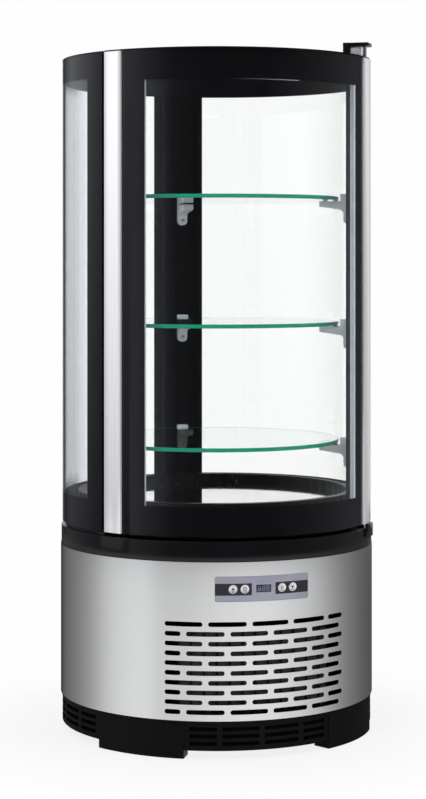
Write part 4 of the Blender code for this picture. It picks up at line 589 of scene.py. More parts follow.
# Front panel: thin stainless sheet, brushed along its length, rolled to the case's round and wrapped
# over its front half. The grille's round-ended slots and the controls' window are punched in it.
PANEL_RADIUS = 0.225
PANEL_INNER_RADIUS = 0.2238
PANEL_HEIGHTS = (0.0515, 0.2650)
PANEL_HALF_ANGLE = radians(94.0)
CONTROL_ANGLE = radians(0.4)
CONTROL_HALF_ANGLE = radians(17.0)
CONTROL_HEIGHT = 0.229
CONTROL_HALF_HEIGHT = 0.01675
FIT = 0.0003
GRILLE_HALF_ANGLE = radians(34.2)
GRILLE_ROWS = 10
GRILLE_PITCH = 0.01315
GRILLE_LOWEST = 0.0633
SLOT_HALF_HEIGHT = 0.00325
SLOT_ANGLE = radians(13.3)
SLOT_BRIDGE = radians(1.95)
SLOT_STEP = SLOT_ANGLE + SLOT_BRIDGE


def around(tree, radius, along, across):
    """Coordinates unrolled from the round: the arc's length and the height, each stretched."""
    axes = new_node(tree, "SeparateXYZ", {"Vector": object_place(tree)}).outputs
    arc = calculated(tree, "MULTIPLY", azimuth(tree, axes), radius * along)
    height = calculated(tree, "MULTIPLY", axes["Z"], across)
    return new_node(tree, "CombineXYZ", {"X": arc, "Y": height}).outputs["Vector"]


def brushed(name, colour, roughness, radius, along, across, spread=0.0, depth=0.00002, metallic=1.0):
    """Brushed metal: scratches drawn out one way in the gloss, the colour and the surface."""
    material, tree, shader = new_finish(name)
    feed(tree, shader, {"Metallic": metallic})
    if spread:
        tangent = new_node(tree, "Tangent", direction_type="RADIAL", axis="Z").outputs["Tangent"]
        feed(tree, shader, {"Anisotropic": spread, "Anisotropic Rotation": 0.25, "Tangent": tangent})
    lines = noise(tree, around(tree, radius, along, across), 1.0, 3.0)
    tones = (scaled(colour, 0.93), scaled(colour, 1.05))
    sheen = (roughness - 0.05, roughness + 0.05)
    surfaced(tree, shader, lines, tones, lines, sheen, (0.25, 0.75), 0.25, depth)
    return material


def edges_beveled(piece, radius, segments, is_wanted):
    """Rounds the edges that are wanted, judged by their two ends."""
    pick(piece)
    bpy.ops.object.mode_set(mode="EDIT")
    bpy.ops.mesh.select_mode(type="EDGE")
    bpy.ops.mesh.select_all(action="DESELECT")
    bpy.ops.object.mode_set(mode="OBJECT")
    corners = piece.data.vertices
    for edge in piece.data.edges:
        edge.select = is_wanted(*(corners[number].co for number in edge.vertices))
    bpy.ops.object.mode_set(mode="EDIT")
    bpy.ops.mesh.bevel(offset=radius, segments=segments)
    bpy.ops.mesh.select_mode(type="VERT")
    bpy.ops.object.mode_set(mode="OBJECT")


def corners_rounded(piece, radius):
    """Rounds the four corners of a curved plate, as seen from outside."""
    front = Vector((0.0, -1.0))
    turns = [corner.co.xy.angle_signed(front) for corner in piece.data.vertices]
    ends = (min(turns), max(turns))

    def is_corner(first, second):
        """Tells the level edges that run out from the centre line at the plate's ends."""
        turn = first.xy.angle_signed(front)
        is_level = abs(first.z - second.z) < 1e-6
        is_radial = abs(turn - second.xy.angle_signed(front)) < 1e-5
        return is_level and is_radial and min(abs(turn - end) for end in ends) < 1e-5

    edges_beveled(piece, radius, 5, is_corner)


def rod(vertices, radius, depth, place=(0.0, 0.0, 0.0), turn=(0.0, 0.0, 0.0)):
    """Upright rod about its centre, turned to lie another way."""
    bpy.ops.object.select_all(action="DESELECT")
    bpy.ops.mesh.primitive_cylinder_add(
        vertices=vertices, radius=radius, depth=depth, location=place, rotation=turn
    )
    made = bpy.context.object
    bpy.ops.object.transform_apply()
    return made


def corners_moved(piece, is_moved, shift):
    """Moves the mesh corners that are wanted."""
    pick(piece)
    bpy.ops.object.mode_set(mode="EDIT")
    bpy.ops.mesh.select_all(action="DESELECT")
    bpy.ops.object.mode_set(mode="OBJECT")
    for corner in piece.data.vertices:
        corner.select = is_moved(corner.co)
    bpy.ops.object.mode_set(mode="EDIT")
    bpy.ops.transform.translate(value=shift)
    bpy.ops.object.mode_set(mode="OBJECT")


def slot_punch(angle, sweep, height):
    """Punch for one round-ended slot: a short rod, its two halves moved apart."""
    punch = rod(22, SLOT_HALF_HEIGHT, 0.012, (0.0, -PANEL_RADIUS, 0.0), (pi / 2, 0.0, 0.0))
    reach = PANEL_RADIUS * sin(sweep / 2) - SLOT_HALF_HEIGHT
    corners_moved(punch, lambda corner: corner.x < 0.0, (-reach, 0.0, 0.0))
    corners_moved(punch, lambda corner: corner.x > 0.0, (reach, 0.0, 0.0))
    return placed(punch, (0.0, 0.0, angle), (0.0, 0.0, height))


brushed_steel = brushed(
    "brushed_stainless", (0.60, 0.605, 0.61), 0.34, PANEL_RADIUS, 18.0, 1900.0, spread=0.6
)
panel_radii = (PANEL_INNER_RADIUS, PANEL_RADIUS)
panel = swept_bar("stainless_panel", panel_radii, PANEL_HEIGHTS, (-PANEL_HALF_ANGLE, PANEL_HALF_ANGLE))
window_half_angle = CONTROL_HALF_ANGLE + FIT / PANEL_RADIUS
window_cutter = swept_bar(
    "control_window",
    (PANEL_INNER_RADIUS - 0.003, PANEL_RADIUS + 0.003),
    (CONTROL_HEIGHT - CONTROL_HALF_HEIGHT - FIT, CONTROL_HEIGHT + CONTROL_HALF_HEIGHT + FIT),
    (CONTROL_ANGLE - window_half_angle, CONTROL_ANGLE + window_half_angle),
)
corners_rounded(window_cutter, 0.0030)
shaped_by(panel, window_cutter, "DIFFERENCE")
punches = []
for row in range(GRILLE_ROWS):
    rise = GRILLE_LOWEST + (GRILLE_ROWS - 1 - row) * GRILLE_PITCH
    left = -GRILLE_HALF_ANGLE
    if row % 2:
        left -= SLOT_STEP / 2
    while left < GRILLE_HALF_ANGLE - 2 * SLOT_BRIDGE:
        low = max(left, -GRILLE_HALF_ANGLE)
        high = min(left + SLOT_ANGLE, GRILLE_HALF_ANGLE)
        punches.append(slot_punch((low + high) / 2, high - low, rise))
        left += SLOT_STEP
shaped_by(panel, joined(punches), "DIFFERENCE")
smoothed(panel)
finished(panel, brushed_steel, "cabinet", "brushed_steel", "front_panel")

# Rear cover: painted black sheet around the back, with air slots pressed in its middle and a cut-out for the
# mains inlet, whose moulded socket sits flush behind it. Black foam glued in behind the slots is painted
# shade, the dark inside of the base seen through them.
INLET_HEIGHT = 0.085
INLET_REACH = 0.0153
INLET_RISE = 0.0113
REAR_VENT_LOWEST = 0.143
REAR_VENT_ROWS = 5
VENT_FOAM_RADII = (0.2212, PANEL_INNER_RADIUS - FIT)
VENT_FOAM_HEIGHTS = (0.1360, 0.2030)
VENT_FOAM_HALF_ANGLE = radians(25.5)

cover_end = PANEL_HALF_ANGLE + FIT / PANEL_RADIUS
rear_cover = swept_bar("rear_cover_sheet", panel_radii, PANEL_HEIGHTS, (cover_end, 2 * pi - cover_end))
inlet_hole = box((0.0, PANEL_RADIUS, INLET_HEIGHT), (2 * INLET_REACH, 0.02, 2 * INLET_RISE))
shaped_by(rear_cover, inlet_hole, "DIFFERENCE")
rear_punches = []
for row in range(REAR_VENT_ROWS):
    for column in (-1, 0, 1):
        rise = REAR_VENT_LOWEST + row * GRILLE_PITCH
        rear_punches.append(slot_punch(pi + column * SLOT_STEP, SLOT_ANGLE, rise))
shaped_by(rear_cover, joined(rear_punches), "DIFFERENCE")
smoothed(rear_cover)
painted_black = grained(
    "painted_black_sheet", (0.0100, 0.0100, 0.0108), 0.38, gloss=0.35, grain=650.0, depth=0.00005
)
finished(rear_cover, painted_black, "cabinet", "black_steel", "rear_cover")
foam_span = (pi - VENT_FOAM_HALF_ANGLE, pi + VENT_FOAM_HALF_ANGLE)
# Painted shade: a near-black foam sheet behind the rear air slots.
vent_shade_foam = swept_bar("vent_shade_foam", VENT_FOAM_RADII, VENT_FOAM_HEIGHTS, foam_span)
softened(vent_shade_foam, 0.0005)
finished(vent_shade_foam, slot_shade_foam, "cabinet", "black_plastic")
refinished(plinth_plastic, "power_inlet")

# Base ring: glossy black moulding that sits on the base and closes its top. Inside it rises as the
# sill of the display space, and at the hinge it has a pocket for the lower bracket.
HINGE_ANGLE = radians(57.5)
HINGE_PLACE = Vector((0.185124, -0.117937, 0.0))
SILL_OUTER_RADIUS = 0.2000
SILL_SCREW_ANGLE = radians(154.4)
REAR_GLASS_ANGLE = radians(61.0)


def turned_to(piece, angle):
    """Turns a piece made at the front about the centre line."""
    return placed(piece, (0.0, 0.0, angle))


def refaced(piece, material, is_wanted):
    """Gives the wanted faces a second finish."""
    piece.data.materials.append(material)
    for face in piece.data.polygons:
        if is_wanted(face):
            face.material_index = 1


ring_gloss = grained(
    "gloss_black_moulding", (0.0062, 0.0061, 0.0076), 0.14, gloss=0.28, grain=60.0, depth=0.00001
)
sill_satin = grained("sill_satin", (0.0060, 0.0060, 0.0070), 0.40, gloss=0.10)
ring = turned("base_ring_moulding", [
    (0.2195, 0.2530), (0.2235, 0.2530), (0.2235, 0.2653), (0.2242, 0.2653), (0.2242, 0.2907),
    (0.2236, 0.2919), (0.2224, 0.2925), (SILL_OUTER_RADIUS, 0.2925), (SILL_OUTER_RADIUS, 0.3410),
    (0.1880, 0.3410), (0.1880, 0.3277), (0.1760, 0.3277), (0.1760, 0.3247), (0.1964, 0.3247),
    (0.1964, 0.2885), (0.2195, 0.2885),
])
seat_span = (REAR_GLASS_ANGLE, 2 * pi - REAR_GLASS_ANGLE)
shaped_by(ring, swept_bar("glazing_seat", (0.2080, 0.2180), (0.2905, 0.2977), seat_span), "UNION")
pocket = turned_to(box((0.0, -0.21735, 0.3120), (0.0246, 0.0233, 0.0582)), HINGE_ANGLE)
shaped_by(ring, pocket, "DIFFERENCE")
softened(ring, 0.0004)
finished(ring, ring_gloss, "cabinet", "black_gloss", "base_ring")
refaced(ring, sill_satin, lambda face: face.center.xy.length < SILL_OUTER_RADIUS + 0.0002)
screw_place = polar(0.1879, SILL_SCREW_ANGLE, 0.3312)
sill_screw = screw("sill_screw", 0.0014, screw_place, SILL_SCREW_ANGLE - pi)
finished(sill_screw, zinc_screw, "cabinet", "zinc_steel")

# Controls: a printed overlay plate set in the panel's window, with two dark strips, a display window
# with unlit figures, three small pilot dots and four sprung buttons of silvered plastic.
BUTTON_ANGLES = (radians(-10.8), radians(-6.7), radians(6.7), radians(10.8))
BUTTON_RADIUS = 0.006
OVERLAY_INNER_RADIUS = 0.2236
STRIP_RADII = (0.2248, PANEL_RADIUS + 0.00006)
STRIP_HEIGHTS = (0.2205, 0.2365)
STRIP_SPANS = ((radians(-16.6), radians(-3.87)), (radians(4.65), radians(17.4)))
DOT_ANGLES = (radians(-1.37), radians(-0.05), radians(1.34))
DOT_HEIGHT = 0.2388
DISPLAY_HOLE = (0.0212, 0.012, 0.0102)
DISPLAY_SIZE = (0.0206, 0.0117, 0.0096)
DISPLAY_RADIUS = 0.2185
FIGURE_RADIUS = 0.22440
FIGURE_PITCH = 0.0058
SMALL_ROUND_ANGLE = radians(40.0)


def at_controls(piece, angle, lift=0.0):
    """Lays a piece made on the ground plane against the control plate."""
    turn = CONTROL_ANGLE + angle
    return placed(piece, (pi / 2, 0.0, turn), polar(PANEL_RADIUS + lift, turn, CONTROL_HEIGHT))


def button_bores(angles):
    """Punches for the holes that the buttons move in."""
    return joined([at_controls(rod(40, BUTTON_RADIUS + FIT, 0.010), angle) for angle in angles])


def figure_bar(place, size):
    """One bar of a seven-bar figure, bevelled at its ends."""
    bar = box(place, size)
    bevel = bar.modifiers.new("ends", "BEVEL")
    bevel.width = 0.00025
    bevel.segments = 1
    bpy.ops.object.modifier_apply(modifier="ends")
    return bar


overlay_grey = grained("overlay_grey", (0.31, 0.31, 0.38), 0.38, metallic=0.5, grain=1800.0, depth=0.00002)
overlay_dark = grained("overlay_dark", (0.008, 0.009, 0.018), 0.24, gloss=0.3, grain=1800.0, depth=0.00001)
silvered = grained("silvered_plastic", (0.62, 0.62, 0.64), 0.30, metallic=0.85, grain=2400.0, depth=0.00001)
dot_print = grained("pilot_dot", (0.10, 0.11, 0.18), 0.30, grain=1800.0, depth=0.00001)
plate = swept_bar(
    "control_overlay", (OVERLAY_INNER_RADIUS, PANEL_RADIUS),
    (CONTROL_HEIGHT - CONTROL_HALF_HEIGHT, CONTROL_HEIGHT + CONTROL_HALF_HEIGHT),
    (CONTROL_ANGLE - CONTROL_HALF_ANGLE, CONTROL_ANGLE + CONTROL_HALF_ANGLE),
)
corners_rounded(plate, 0.0028)
shaped_by(plate, button_bores(BUTTON_ANGLES), "DIFFERENCE")
display_hole = turned_to(box((0.0, -PANEL_RADIUS, CONTROL_HEIGHT), DISPLAY_HOLE), CONTROL_ANGLE)
shaped_by(plate, display_hole, "DIFFERENCE")
smoothed(plate)
finished(plate, overlay_grey, "cabinet", "grey_overlay", "control_plate")

for number, span in enumerate(STRIP_SPANS, start=1):
    strip = swept_bar(f"dark_strip_{number}", STRIP_RADII, STRIP_HEIGHTS, span)
    corners_rounded(strip, 0.0008)
    shaped_by(strip, button_bores(BUTTON_ANGLES[2 * number - 2:2 * number]), "DIFFERENCE")
    smoothed(strip)
    finished(strip, overlay_dark, "cabinet", "grey_overlay")
for number, angle in enumerate(DOT_ANGLES, start=1):
    outline = [(0.00085, 0.0), (0.00085, 0.00018), (0.0004, 0.0003)]
    dot = turned(f"pilot_dot_{number}", outline, 20, is_ring=False)
    placed(dot, (pi / 2, 0.0, angle), polar(PANEL_RADIUS - 0.0002, angle, DOT_HEIGHT))
    shaded(dot, SMALL_ROUND_ANGLE)
    finished(dot, dot_print, "cabinet", "grey_overlay")

display_glass = grained("display_window", (0.030, 0.034, 0.070), 0.12, grain=2000.0, depth=0.000005)
display = turned_to(box((0.0, -DISPLAY_RADIUS, CONTROL_HEIGHT), DISPLAY_SIZE), CONTROL_ANGLE)
display.name = "display_pane"
softened(display, 0.0003)
finished(display, display_glass, "cabinet", "dark_window", "display_window")
figure_print = grained("unlit_figures", (0.19, 0.21, 0.31), 0.30, grain=2000.0, depth=0.000005)
figure_bars = []
for middle in (-FIGURE_PITCH, 0.0, FIGURE_PITCH):
    for rise in (-0.0030, 0.0, 0.0030):
        place = (middle, -FIGURE_RADIUS, CONTROL_HEIGHT + rise)
        figure_bars.append(figure_bar(place, (0.0026, 0.00012, 0.0006)))
    for rise in (-0.0015, 0.0015):
        for side in (-0.0016, 0.0016):
            place = (middle + side, -FIGURE_RADIUS, CONTROL_HEIGHT + rise)
            figure_bars.append(figure_bar(place, (0.0006, 0.00012, 0.0026)))
figures = turned_to(joined(figure_bars), CONTROL_ANGLE)
figures.name = "display_figures"
finished(figures, figure_print, "cabinet", "dark_window")

for number, angle in enumerate(BUTTON_ANGLES, start=1):
    button = turned(f"push_button_{number}", [
        (0.0020, -0.0076), (0.0020, -0.0034), (0.0073, -0.0034), (0.0073, -0.0022), (BUTTON_RADIUS, -0.0022),
        (BUTTON_RADIUS, 0.0005), (0.0056, 0.0009), (0.0050, 0.0009), (0.0043, 0.0005), (0.0020, 0.0003),
    ], segments=48, is_ring=False)
    shaded(at_controls(button, angle), radians(35.0))
    finished(button, silvered, f"button_{number}", "silver_button", f"button_{number}")

# Signs: printed plainly on the four buttons. They are an arrow up, a switch's ring and bar, three
# lines, and an arrow down.
SIGN_THICKNESS = 0.0005
SIGN_LIFT = 0.00035
SIGN_RING_RADII = (0.0017, 0.0025)

sign_print = grained("button_sign", (0.030, 0.030, 0.036), 0.40, grain=1500.0, depth=0.00001)


def sign_bar(width, height, rise, turn=0.0):
    """Flat bar of a sign, drawn on the ground plane."""
    return box((0.0, rise, 0.0), (width, height, SIGN_THICKNESS), turn)


def sign_arrow(turn):
    """Flat three-sided arrow of a sign."""
    return rod(3, 0.0025, SIGN_THICKNESS, turn=(0.0, 0.0, turn))


def sign_ring():
    """Flat ring of a sign."""
    inner, outer = SIGN_RING_RADII
    low, high = -SIGN_THICKNESS / 2, SIGN_THICKNESS / 2
    return turned("sign_ring", [(inner, low), (outer, low), (outer, high), (inner, high)], segments=24)


signs = (
    joined([sign_arrow(0.0), sign_bar(0.0026, 0.0007, -0.0022)]),
    joined([sign_ring(), sign_bar(0.0008, 0.0024, 0.0016)]),
    joined([sign_bar(0.0042, 0.0006, rise, radians(12.0)) for rise in (-0.0015, 0.0, 0.0015)]),
    sign_arrow(pi),
)
for number, (sign, angle) in enumerate(zip(signs, BUTTON_ANGLES), start=1):
    sign.name = f"button_sign_{number}"
    at_controls(sign, angle, SIGN_LIFT)
    finished(sign, sign_print, f"button_{number}", "silver_button")

# Floor plate: polished stainless disc on the sill's ledge, with air slots at the front and the rear,
# through which the cooled air leaves the tub and comes back.
FLOOR_PLATE_RADIUS = 0.1877
FLOOR_PLATE_HEIGHTS = (0.3280, 0.3292)
FLOOR_SLOT_PLACE = (0.0, -0.155, 0.3286)
FLOOR_SLOT_HALF_WIDTH = 0.003
FLOOR_SLOT_STRETCH = 3.3333
FLOOR_SLOT_STEP = radians(11.0)

polished_steel = grained(
    "polished_stainless", (0.72, 0.73, 0.73), 0.06, metallic=1.0, grain=90.0, depth=0.000004
)
floor_outline = [(FLOOR_PLATE_RADIUS, height) for height in FLOOR_PLATE_HEIGHTS]
floor_plate = turned("display_floor", floor_outline, is_ring=False)
floor_cutters = []
for facing in (0.0, pi):
    for step in range(6):
        slot_tool = rod(18, FLOOR_SLOT_HALF_WIDTH, 0.01)
        slot_tool.scale.y = FLOOR_SLOT_STRETCH
        placed(slot_tool, place=FLOOR_SLOT_PLACE)
        floor_cutters.append(turned_to(slot_tool, facing + (step - 2.5) * FLOOR_SLOT_STEP))
shaped_by(floor_plate, joined(floor_cutters), "DIFFERENCE")
smoothed(floor_plate)
finished(floor_plate, polished_steel, "cabinet", "polished_steel", "floor_plate")

# Posts: black extrusions from the sill to the ceiling, two beside the door and one at the rear. They
# carry the ceiling, the rear glazing and the shelf brackets.
POST_HEIGHTS = (0.3413, 0.9237)
POST_INNER_RADIUS = 0.196
POST_OUTER_RADIUS = 0.2087
POST_RADII = (POST_INNER_RADIUS, POST_OUTER_RADIUS)
POST_FRONT_SPAN = (radians(53.5), radians(61.5))
POST_BEHIND_SPAN = (radians(61.0), radians(69.0))
REAR_POST_SPAN = (radians(172.0), radians(188.0))
SIDES = (("right", 1), ("left", -1))


def at_side(sign, span):
    """The span on the right side of the case, or its mirrored one on the left."""
    return sorted(sign * angle for angle in span)


post_black = grained(
    "anodised_black", (0.0014, 0.0015, 0.0020), 0.34,
    gloss=0.02, grain=700.0, depth=0.00003, stretch=(1, 1, 0.04),
)
for side, sign in SIDES:
    front_radii = (POST_INNER_RADIUS, SILL_OUTER_RADIUS)
    post = swept_bar(f"post_{side}_profile", front_radii, POST_HEIGHTS, at_side(sign, POST_FRONT_SPAN))
    behind = swept_bar("post_behind", POST_RADII, POST_HEIGHTS, at_side(sign, POST_BEHIND_SPAN))
    shaped_by(post, behind, "UNION")
    softened(post, 0.0006)
    finished(post, post_black, "cabinet", "black_plastic", f"post_{side}")
rear_post = swept_bar("post_rear_profile", POST_RADII, POST_HEIGHTS, REAR_POST_SPAN)
softened(rear_post, 0.0006)
finished(rear_post, post_black, "cabinet", "black_plastic", "post_rear")

# Rear glazing: two curved double-glazed panels that meet at the rear post. A black border is fired
# onto the inner face of each outer pane and hides the spacer, the posts and the sealant.
GLASS_RADIUS = 0.223
OUTER_PANE_RADII = (0.219, GLASS_RADIUS)
INNER_PANE_RADII = (0.209, 0.213)
GLASS_HEIGHTS = (0.298, 0.957)
REAR_GLASS_SPAN = (REAR_GLASS_ANGLE, radians(179.8))
REAR_WINDOW_SPAN = (radians(70.3), radians(169.8))
REAR_WINDOW_HEIGHTS = (0.340, 0.9230)

fired_black = grained(
    "fired_black_border", (0.0042, 0.0042, 0.0056), 0.30, gloss=0.0, grain=60.0, depth=0.000004
)


def clear_glass(name, colour):
    """Float glass with a faint film of haze in its tint."""
    material, tree, shader = new_finish(name)
    haze = noise(tree, object_place(tree), 6.0, 3.0)
    tint = ramp(tree, haze, ((0.0, scaled(colour, 0.985)), (1.0, colour)))
    feed(tree, shader, {"Transmission Weight": 1.0, "IOR": 1.5, "Roughness": 0.0, "Base Color": tint})
    return material


def thin_glass(name, colour, gloss):
    """Glass behind glass: it lets what is behind it straight through and only adds its gloss."""
    material, tree, shader = new_finish(name)
    haze = noise(tree, object_place(tree), 9.0, 4.0)
    steep = calculated(tree, "POWER", new_node(tree, "LayerWeight").outputs["Facing"], 5.0)
    feed(tree, shader, {
        "Metallic": 1.0,
        "Base Color": ramp(tree, haze, ((0.0, scaled(colour, 0.94)), (1.0, colour))),
        "Roughness": carried_over(tree, haze, onto=(0.01, 0.03)),
        "Alpha": carried_over(tree, steep, onto=(0.04 * gloss, gloss)),
    })
    return material


outer_glass = clear_glass("outer_glass", (0.985, 0.992, 0.988))
lining_glass = thin_glass("lining_glass", (0.90, 0.95, 0.97), 0.4)


def bordered_pane(name, span, window_span, window_heights, body, node):
    """Outer pane, split along its window's sides, its border fired on the inner face and the ends."""
    pane = swept_bar(name, OUTER_PANE_RADII, GLASS_HEIGHTS, span)
    cuts = [((0.0, 0.0, height), (0.0, 0.0, 1.0)) for height in window_heights]
    cuts += [((0.0, 0.0, 0.0), (cos(angle), sin(angle), 0.0)) for angle in window_span]
    pick(pane)
    bpy.ops.object.mode_set(mode="EDIT")
    for place, normal in cuts:
        bpy.ops.mesh.select_all(action="SELECT")
        bpy.ops.mesh.bisect(plane_co=place, plane_no=normal)
    bpy.ops.object.mode_set(mode="OBJECT")
    shaded(pane)
    finished(pane, outer_glass, body, "clear_glass", node)
    middle = polar(1.0, sum(window_span) / 2).xy
    half = (window_span[1] - window_span[0]) / 2

    def is_fired(face):
        """Tells the faces that the border is fired on."""
        centre = face.center
        outward = face.normal.xy.dot(centre.xy) / centre.xy.length
        in_window = centre.xy.angle(middle) < half and window_heights[0] < centre.z < window_heights[1]
        at_end = abs(outward) < 0.5 and abs(face.normal.z) < 0.5
        return at_end or outward < -0.5 and not in_window

    refaced(pane, fired_black, is_fired)


spacer_metal = brushed("spacer_aluminium", (0.76, 0.83, 0.90), 0.36, GLASS_RADIUS, 900.0, 60.0, metallic=0.15)
for side, sign in SIDES:
    span = at_side(sign, REAR_GLASS_SPAN)
    window_span = at_side(sign, REAR_WINDOW_SPAN)
    node = f"rear_glass_outer_{side}"
    bordered_pane(f"rear_pane_{side}", span, window_span, REAR_WINDOW_HEIGHTS, "cabinet", node)
    lining = swept_bar(f"rear_lining_{side}", INNER_PANE_RADII, GLASS_HEIGHTS, span)
    softened(lining, 0.0003, segments=1)
    finished(lining, lining_glass, "cabinet", "clear_glass", f"rear_glass_inner_{side}")
    refinished(spacer_metal, f"rear_glass_spacer_{side}")

# Ceiling, roof and lamp: a foam-filled black panel on the posts, a thin sheet over it, and a milky
# lamp lens along the ceiling's front edge. The door's curve is cut out of both at the front.
CEILING_HEIGHTS = (0.9240, 0.9570)
ROOF_HEIGHTS = (0.9573, 0.9588)
FRONT_CUT_SPAN = (radians(-60.6), radians(60.6))
LENS_SPAN = (radians(-21.0), radians(21.0))

ceiling_black = grained(
    "ceiling_black", (0.0060, 0.0060, 0.0085), 0.40, gloss=0.0, grain=500.0, depth=0.00003
)
roof_black = grained("roof_black", (0.0060, 0.0060, 0.0066), 0.38, gloss=0.20, grain=650.0, depth=0.00005)
ceiling = turned("ceiling_panel", [(POST_OUTER_RADIUS, height) for height in CEILING_HEIGHTS], is_ring=False)
front_cut = swept_bar("door_clearance", (0.2000, 0.2300), (0.9200, 0.9600), FRONT_CUT_SPAN)
shaped_by(ceiling, front_cut, "DIFFERENCE")
softened(ceiling, 0.0004, segments=1)
finished(ceiling, ceiling_black, "cabinet", "black_plastic", "top_panel")
roof = turned("roof_sheet", [(GLASS_RADIUS, height) for height in ROOF_HEIGHTS], is_ring=False)
front_cut = swept_bar("door_clearance", (0.1997, 0.2300), (0.9500, 0.9700), FRONT_CUT_SPAN)
shaped_by(roof, front_cut, "DIFFERENCE")
softened(roof, 0.0003, segments=1)
finished(roof, roof_black, "cabinet", "black_steel", "roof_cover")
milky = grained(
    "milky_lens", (0.80, 0.83, 0.84), 0.30, gloss=0.4, depth=0.00001, glow=((0.9, 0.95, 1.0), 0.25)
)
lens = swept_bar("lamp_cover", (0.184, 0.191), (0.9187, 0.9237), LENS_SPAN)
softened(lens, 0.0012, segments=3)
finished(lens, milky, "cabinet", "lamp_cover", "lamp_lens")

# Shelves: round plates of toughened glass with a ground green edge, loose on three die-cast brackets
# each. A bracket is screwed to its post, has a gusset under its arm and a tab behind the glass.
SHELF_RADIUS = 0.177
SHELF_THICKNESS = 0.0055
SHELF_UNDERSIDES = (0.4085, 0.5777, 0.7566)
BRACKET_ANGLES = {"left": radians(-60.0), "right": radians(60.0), "rear": radians(180.0)}
BRACKET_TIP = 0.1530
BRACKET_BACK = 0.1956
BRACKET_LEG_FRONT = 0.1878
BRACKET_TAB_FRONT = 0.1830
BRACKET_HALF_WIDTH = 0.00725
BRACKET_ARM_SLOPE = 0.0062

shelf_glass = clear_glass("shelf_glass", (0.93, 0.985, 0.965))
# The ground edge's green glow is painted light: it stands for light carried along inside the glass to its
# edge.
shelf_edge_painted_glow = grained(
    "ground_glass_edge_painted_glow", (0.004, 0.240, 0.145), 0.22,
    gloss=0.4, grain=700.0, depth=0.00003, glow=((0.0, 0.20, 0.12), 0.30),
)
for number, underside in enumerate(SHELF_UNDERSIDES, start=1):
    outline = [(SHELF_RADIUS, underside), (SHELF_RADIUS, underside + SHELF_THICKNESS)]
    shelf = turned(f"glass_shelf_{number}", outline, is_ring=False)
    softened(shelf, 0.0006, segments=1)
    finished(shelf, shelf_glass, f"shelf_{number}", "shelf_glass", f"shelf_{number}")
    refaced(shelf, shelf_edge_painted_glow, lambda face: abs(face.normal.z) < 0.8)


def block(low, high):
    """Box between two corners."""
    pairs = list(zip(low, high))
    return box([(a + b) / 2 for a, b in pairs], [b - a for a, b in pairs])


def bracket_casting():
    """Bracket at the front, its shelf's underside at height zero."""
    half = BRACKET_HALF_WIDTH
    casting = block((-half, -BRACKET_BACK, -0.0325), (half, -BRACKET_TIP, -0.0015))
    edges_beveled(casting, 0.0066, 6, lambda a, b: max(a.z, b.z) < -0.0300 and a.x == b.x)
    tab = block((-half, -BRACKET_BACK, -0.0060), (half, -BRACKET_TAB_FRONT, 0.0088))
    shaped_by(casting, tab, "UNION")
    hollow = block((-0.02, -BRACKET_LEG_FRONT, -0.0600), (0.02, -0.1400, -0.0135))
    edges_beveled(hollow, 0.0070, 7, lambda a, b: min(a.z, b.z) > -0.0200 and max(a.y, b.y) < -0.1800)
    corners_moved(hollow, lambda a: a.z > -0.0140 and a.y > -0.1450, (0.0, 0.0, BRACKET_ARM_SLOPE))
    shaped_by(casting, hollow, "DIFFERENCE")
    softened(casting, 0.0009, segments=3)
    return casting


def bracket_pads():
    """Two rubber pads on the bracket's arm."""
    pads = [block((-0.0055, -near - 0.006, -0.0016), (0.0055, -near, -0.0003)) for near in (0.1575, 0.1725)]
    for pad in pads:
        softened(pad, 0.0003)
    return joined(pads)


cast_zinc = grained("die_cast_zinc", (0.84, 0.89, 0.94), 0.36, metallic=0.10, grain=800.0, depth=0.00006)
pad_rubber = grained("bracket_pad", (0.020, 0.021, 0.022), 0.60, gloss=0.3, grain=1200.0)
bracket_pieces = (
    (bracket_casting(), "bracket", cast_zinc, "cast_zinc"),
    (bracket_pads(), "bracket_pads", pad_rubber, "rubber"),
    (screw("fixing", 0.0026, Vector((0.0, -0.1884, -0.0248)), pi), "bracket_screw", zinc_screw, "zinc_steel"),
)
for number, underside in enumerate(SHELF_UNDERSIDES, start=1):
    for side, angle in BRACKET_ANGLES.items():
        for model, name, material, slot in bracket_pieces:
            piece = turned_copy(model, angle, underside)
            piece.name = f"{name}_{number}_{side}"
            nodes = [f"shelf_bracket_{number}_{side}"] if name == "bracket" else []
            finished(piece, material, "cabinet", slot, *nodes)
for model, *_ in bracket_pieces:
    bpy.data.objects.remove(model)

# Door: a curved double-glazed leaf. Its outer pane has a fired black border, a perforated aluminium
# spacer shows at the window's sides, and a black frame behind it takes the lining pane and the gasket.
DOOR_INNER_RADIUS = 0.205
DOOR_SPAN = (radians(-51.52), radians(51.52))
LEAF_SPAN = (radians(-59.2), radians(59.3))
DOOR_WINDOW_SPAN = (radians(-42.3), radians(45.4))
DOOR_WINDOW_HEIGHTS = (0.3383, 0.9158)
OPENING_SPAN = (radians(-45.5), radians(45.5))
OPENING_HEIGHTS = (0.318, 0.939)
LINING_SPAN = (radians(-45.42), radians(45.42))
LINING_HEIGHTS = (0.3183, 0.9387)
SPACER_RADII = (0.2133, 0.2187)
SPACER_WINDOW_SPAN = (radians(-42.55), radians(44.3))
SPACER_WINDOW_HEIGHTS = (0.3258, 0.9312)
PERFORATION_RADII = (0.2147, 0.2173)
PERFORATION_HEIGHTS = (0.3270, 0.9300)
PERFORATION_LOWEST = 0.3285
PERFORATION_PITCH = 0.0042
CUT_THROUGH = (0.2000, 0.2300)

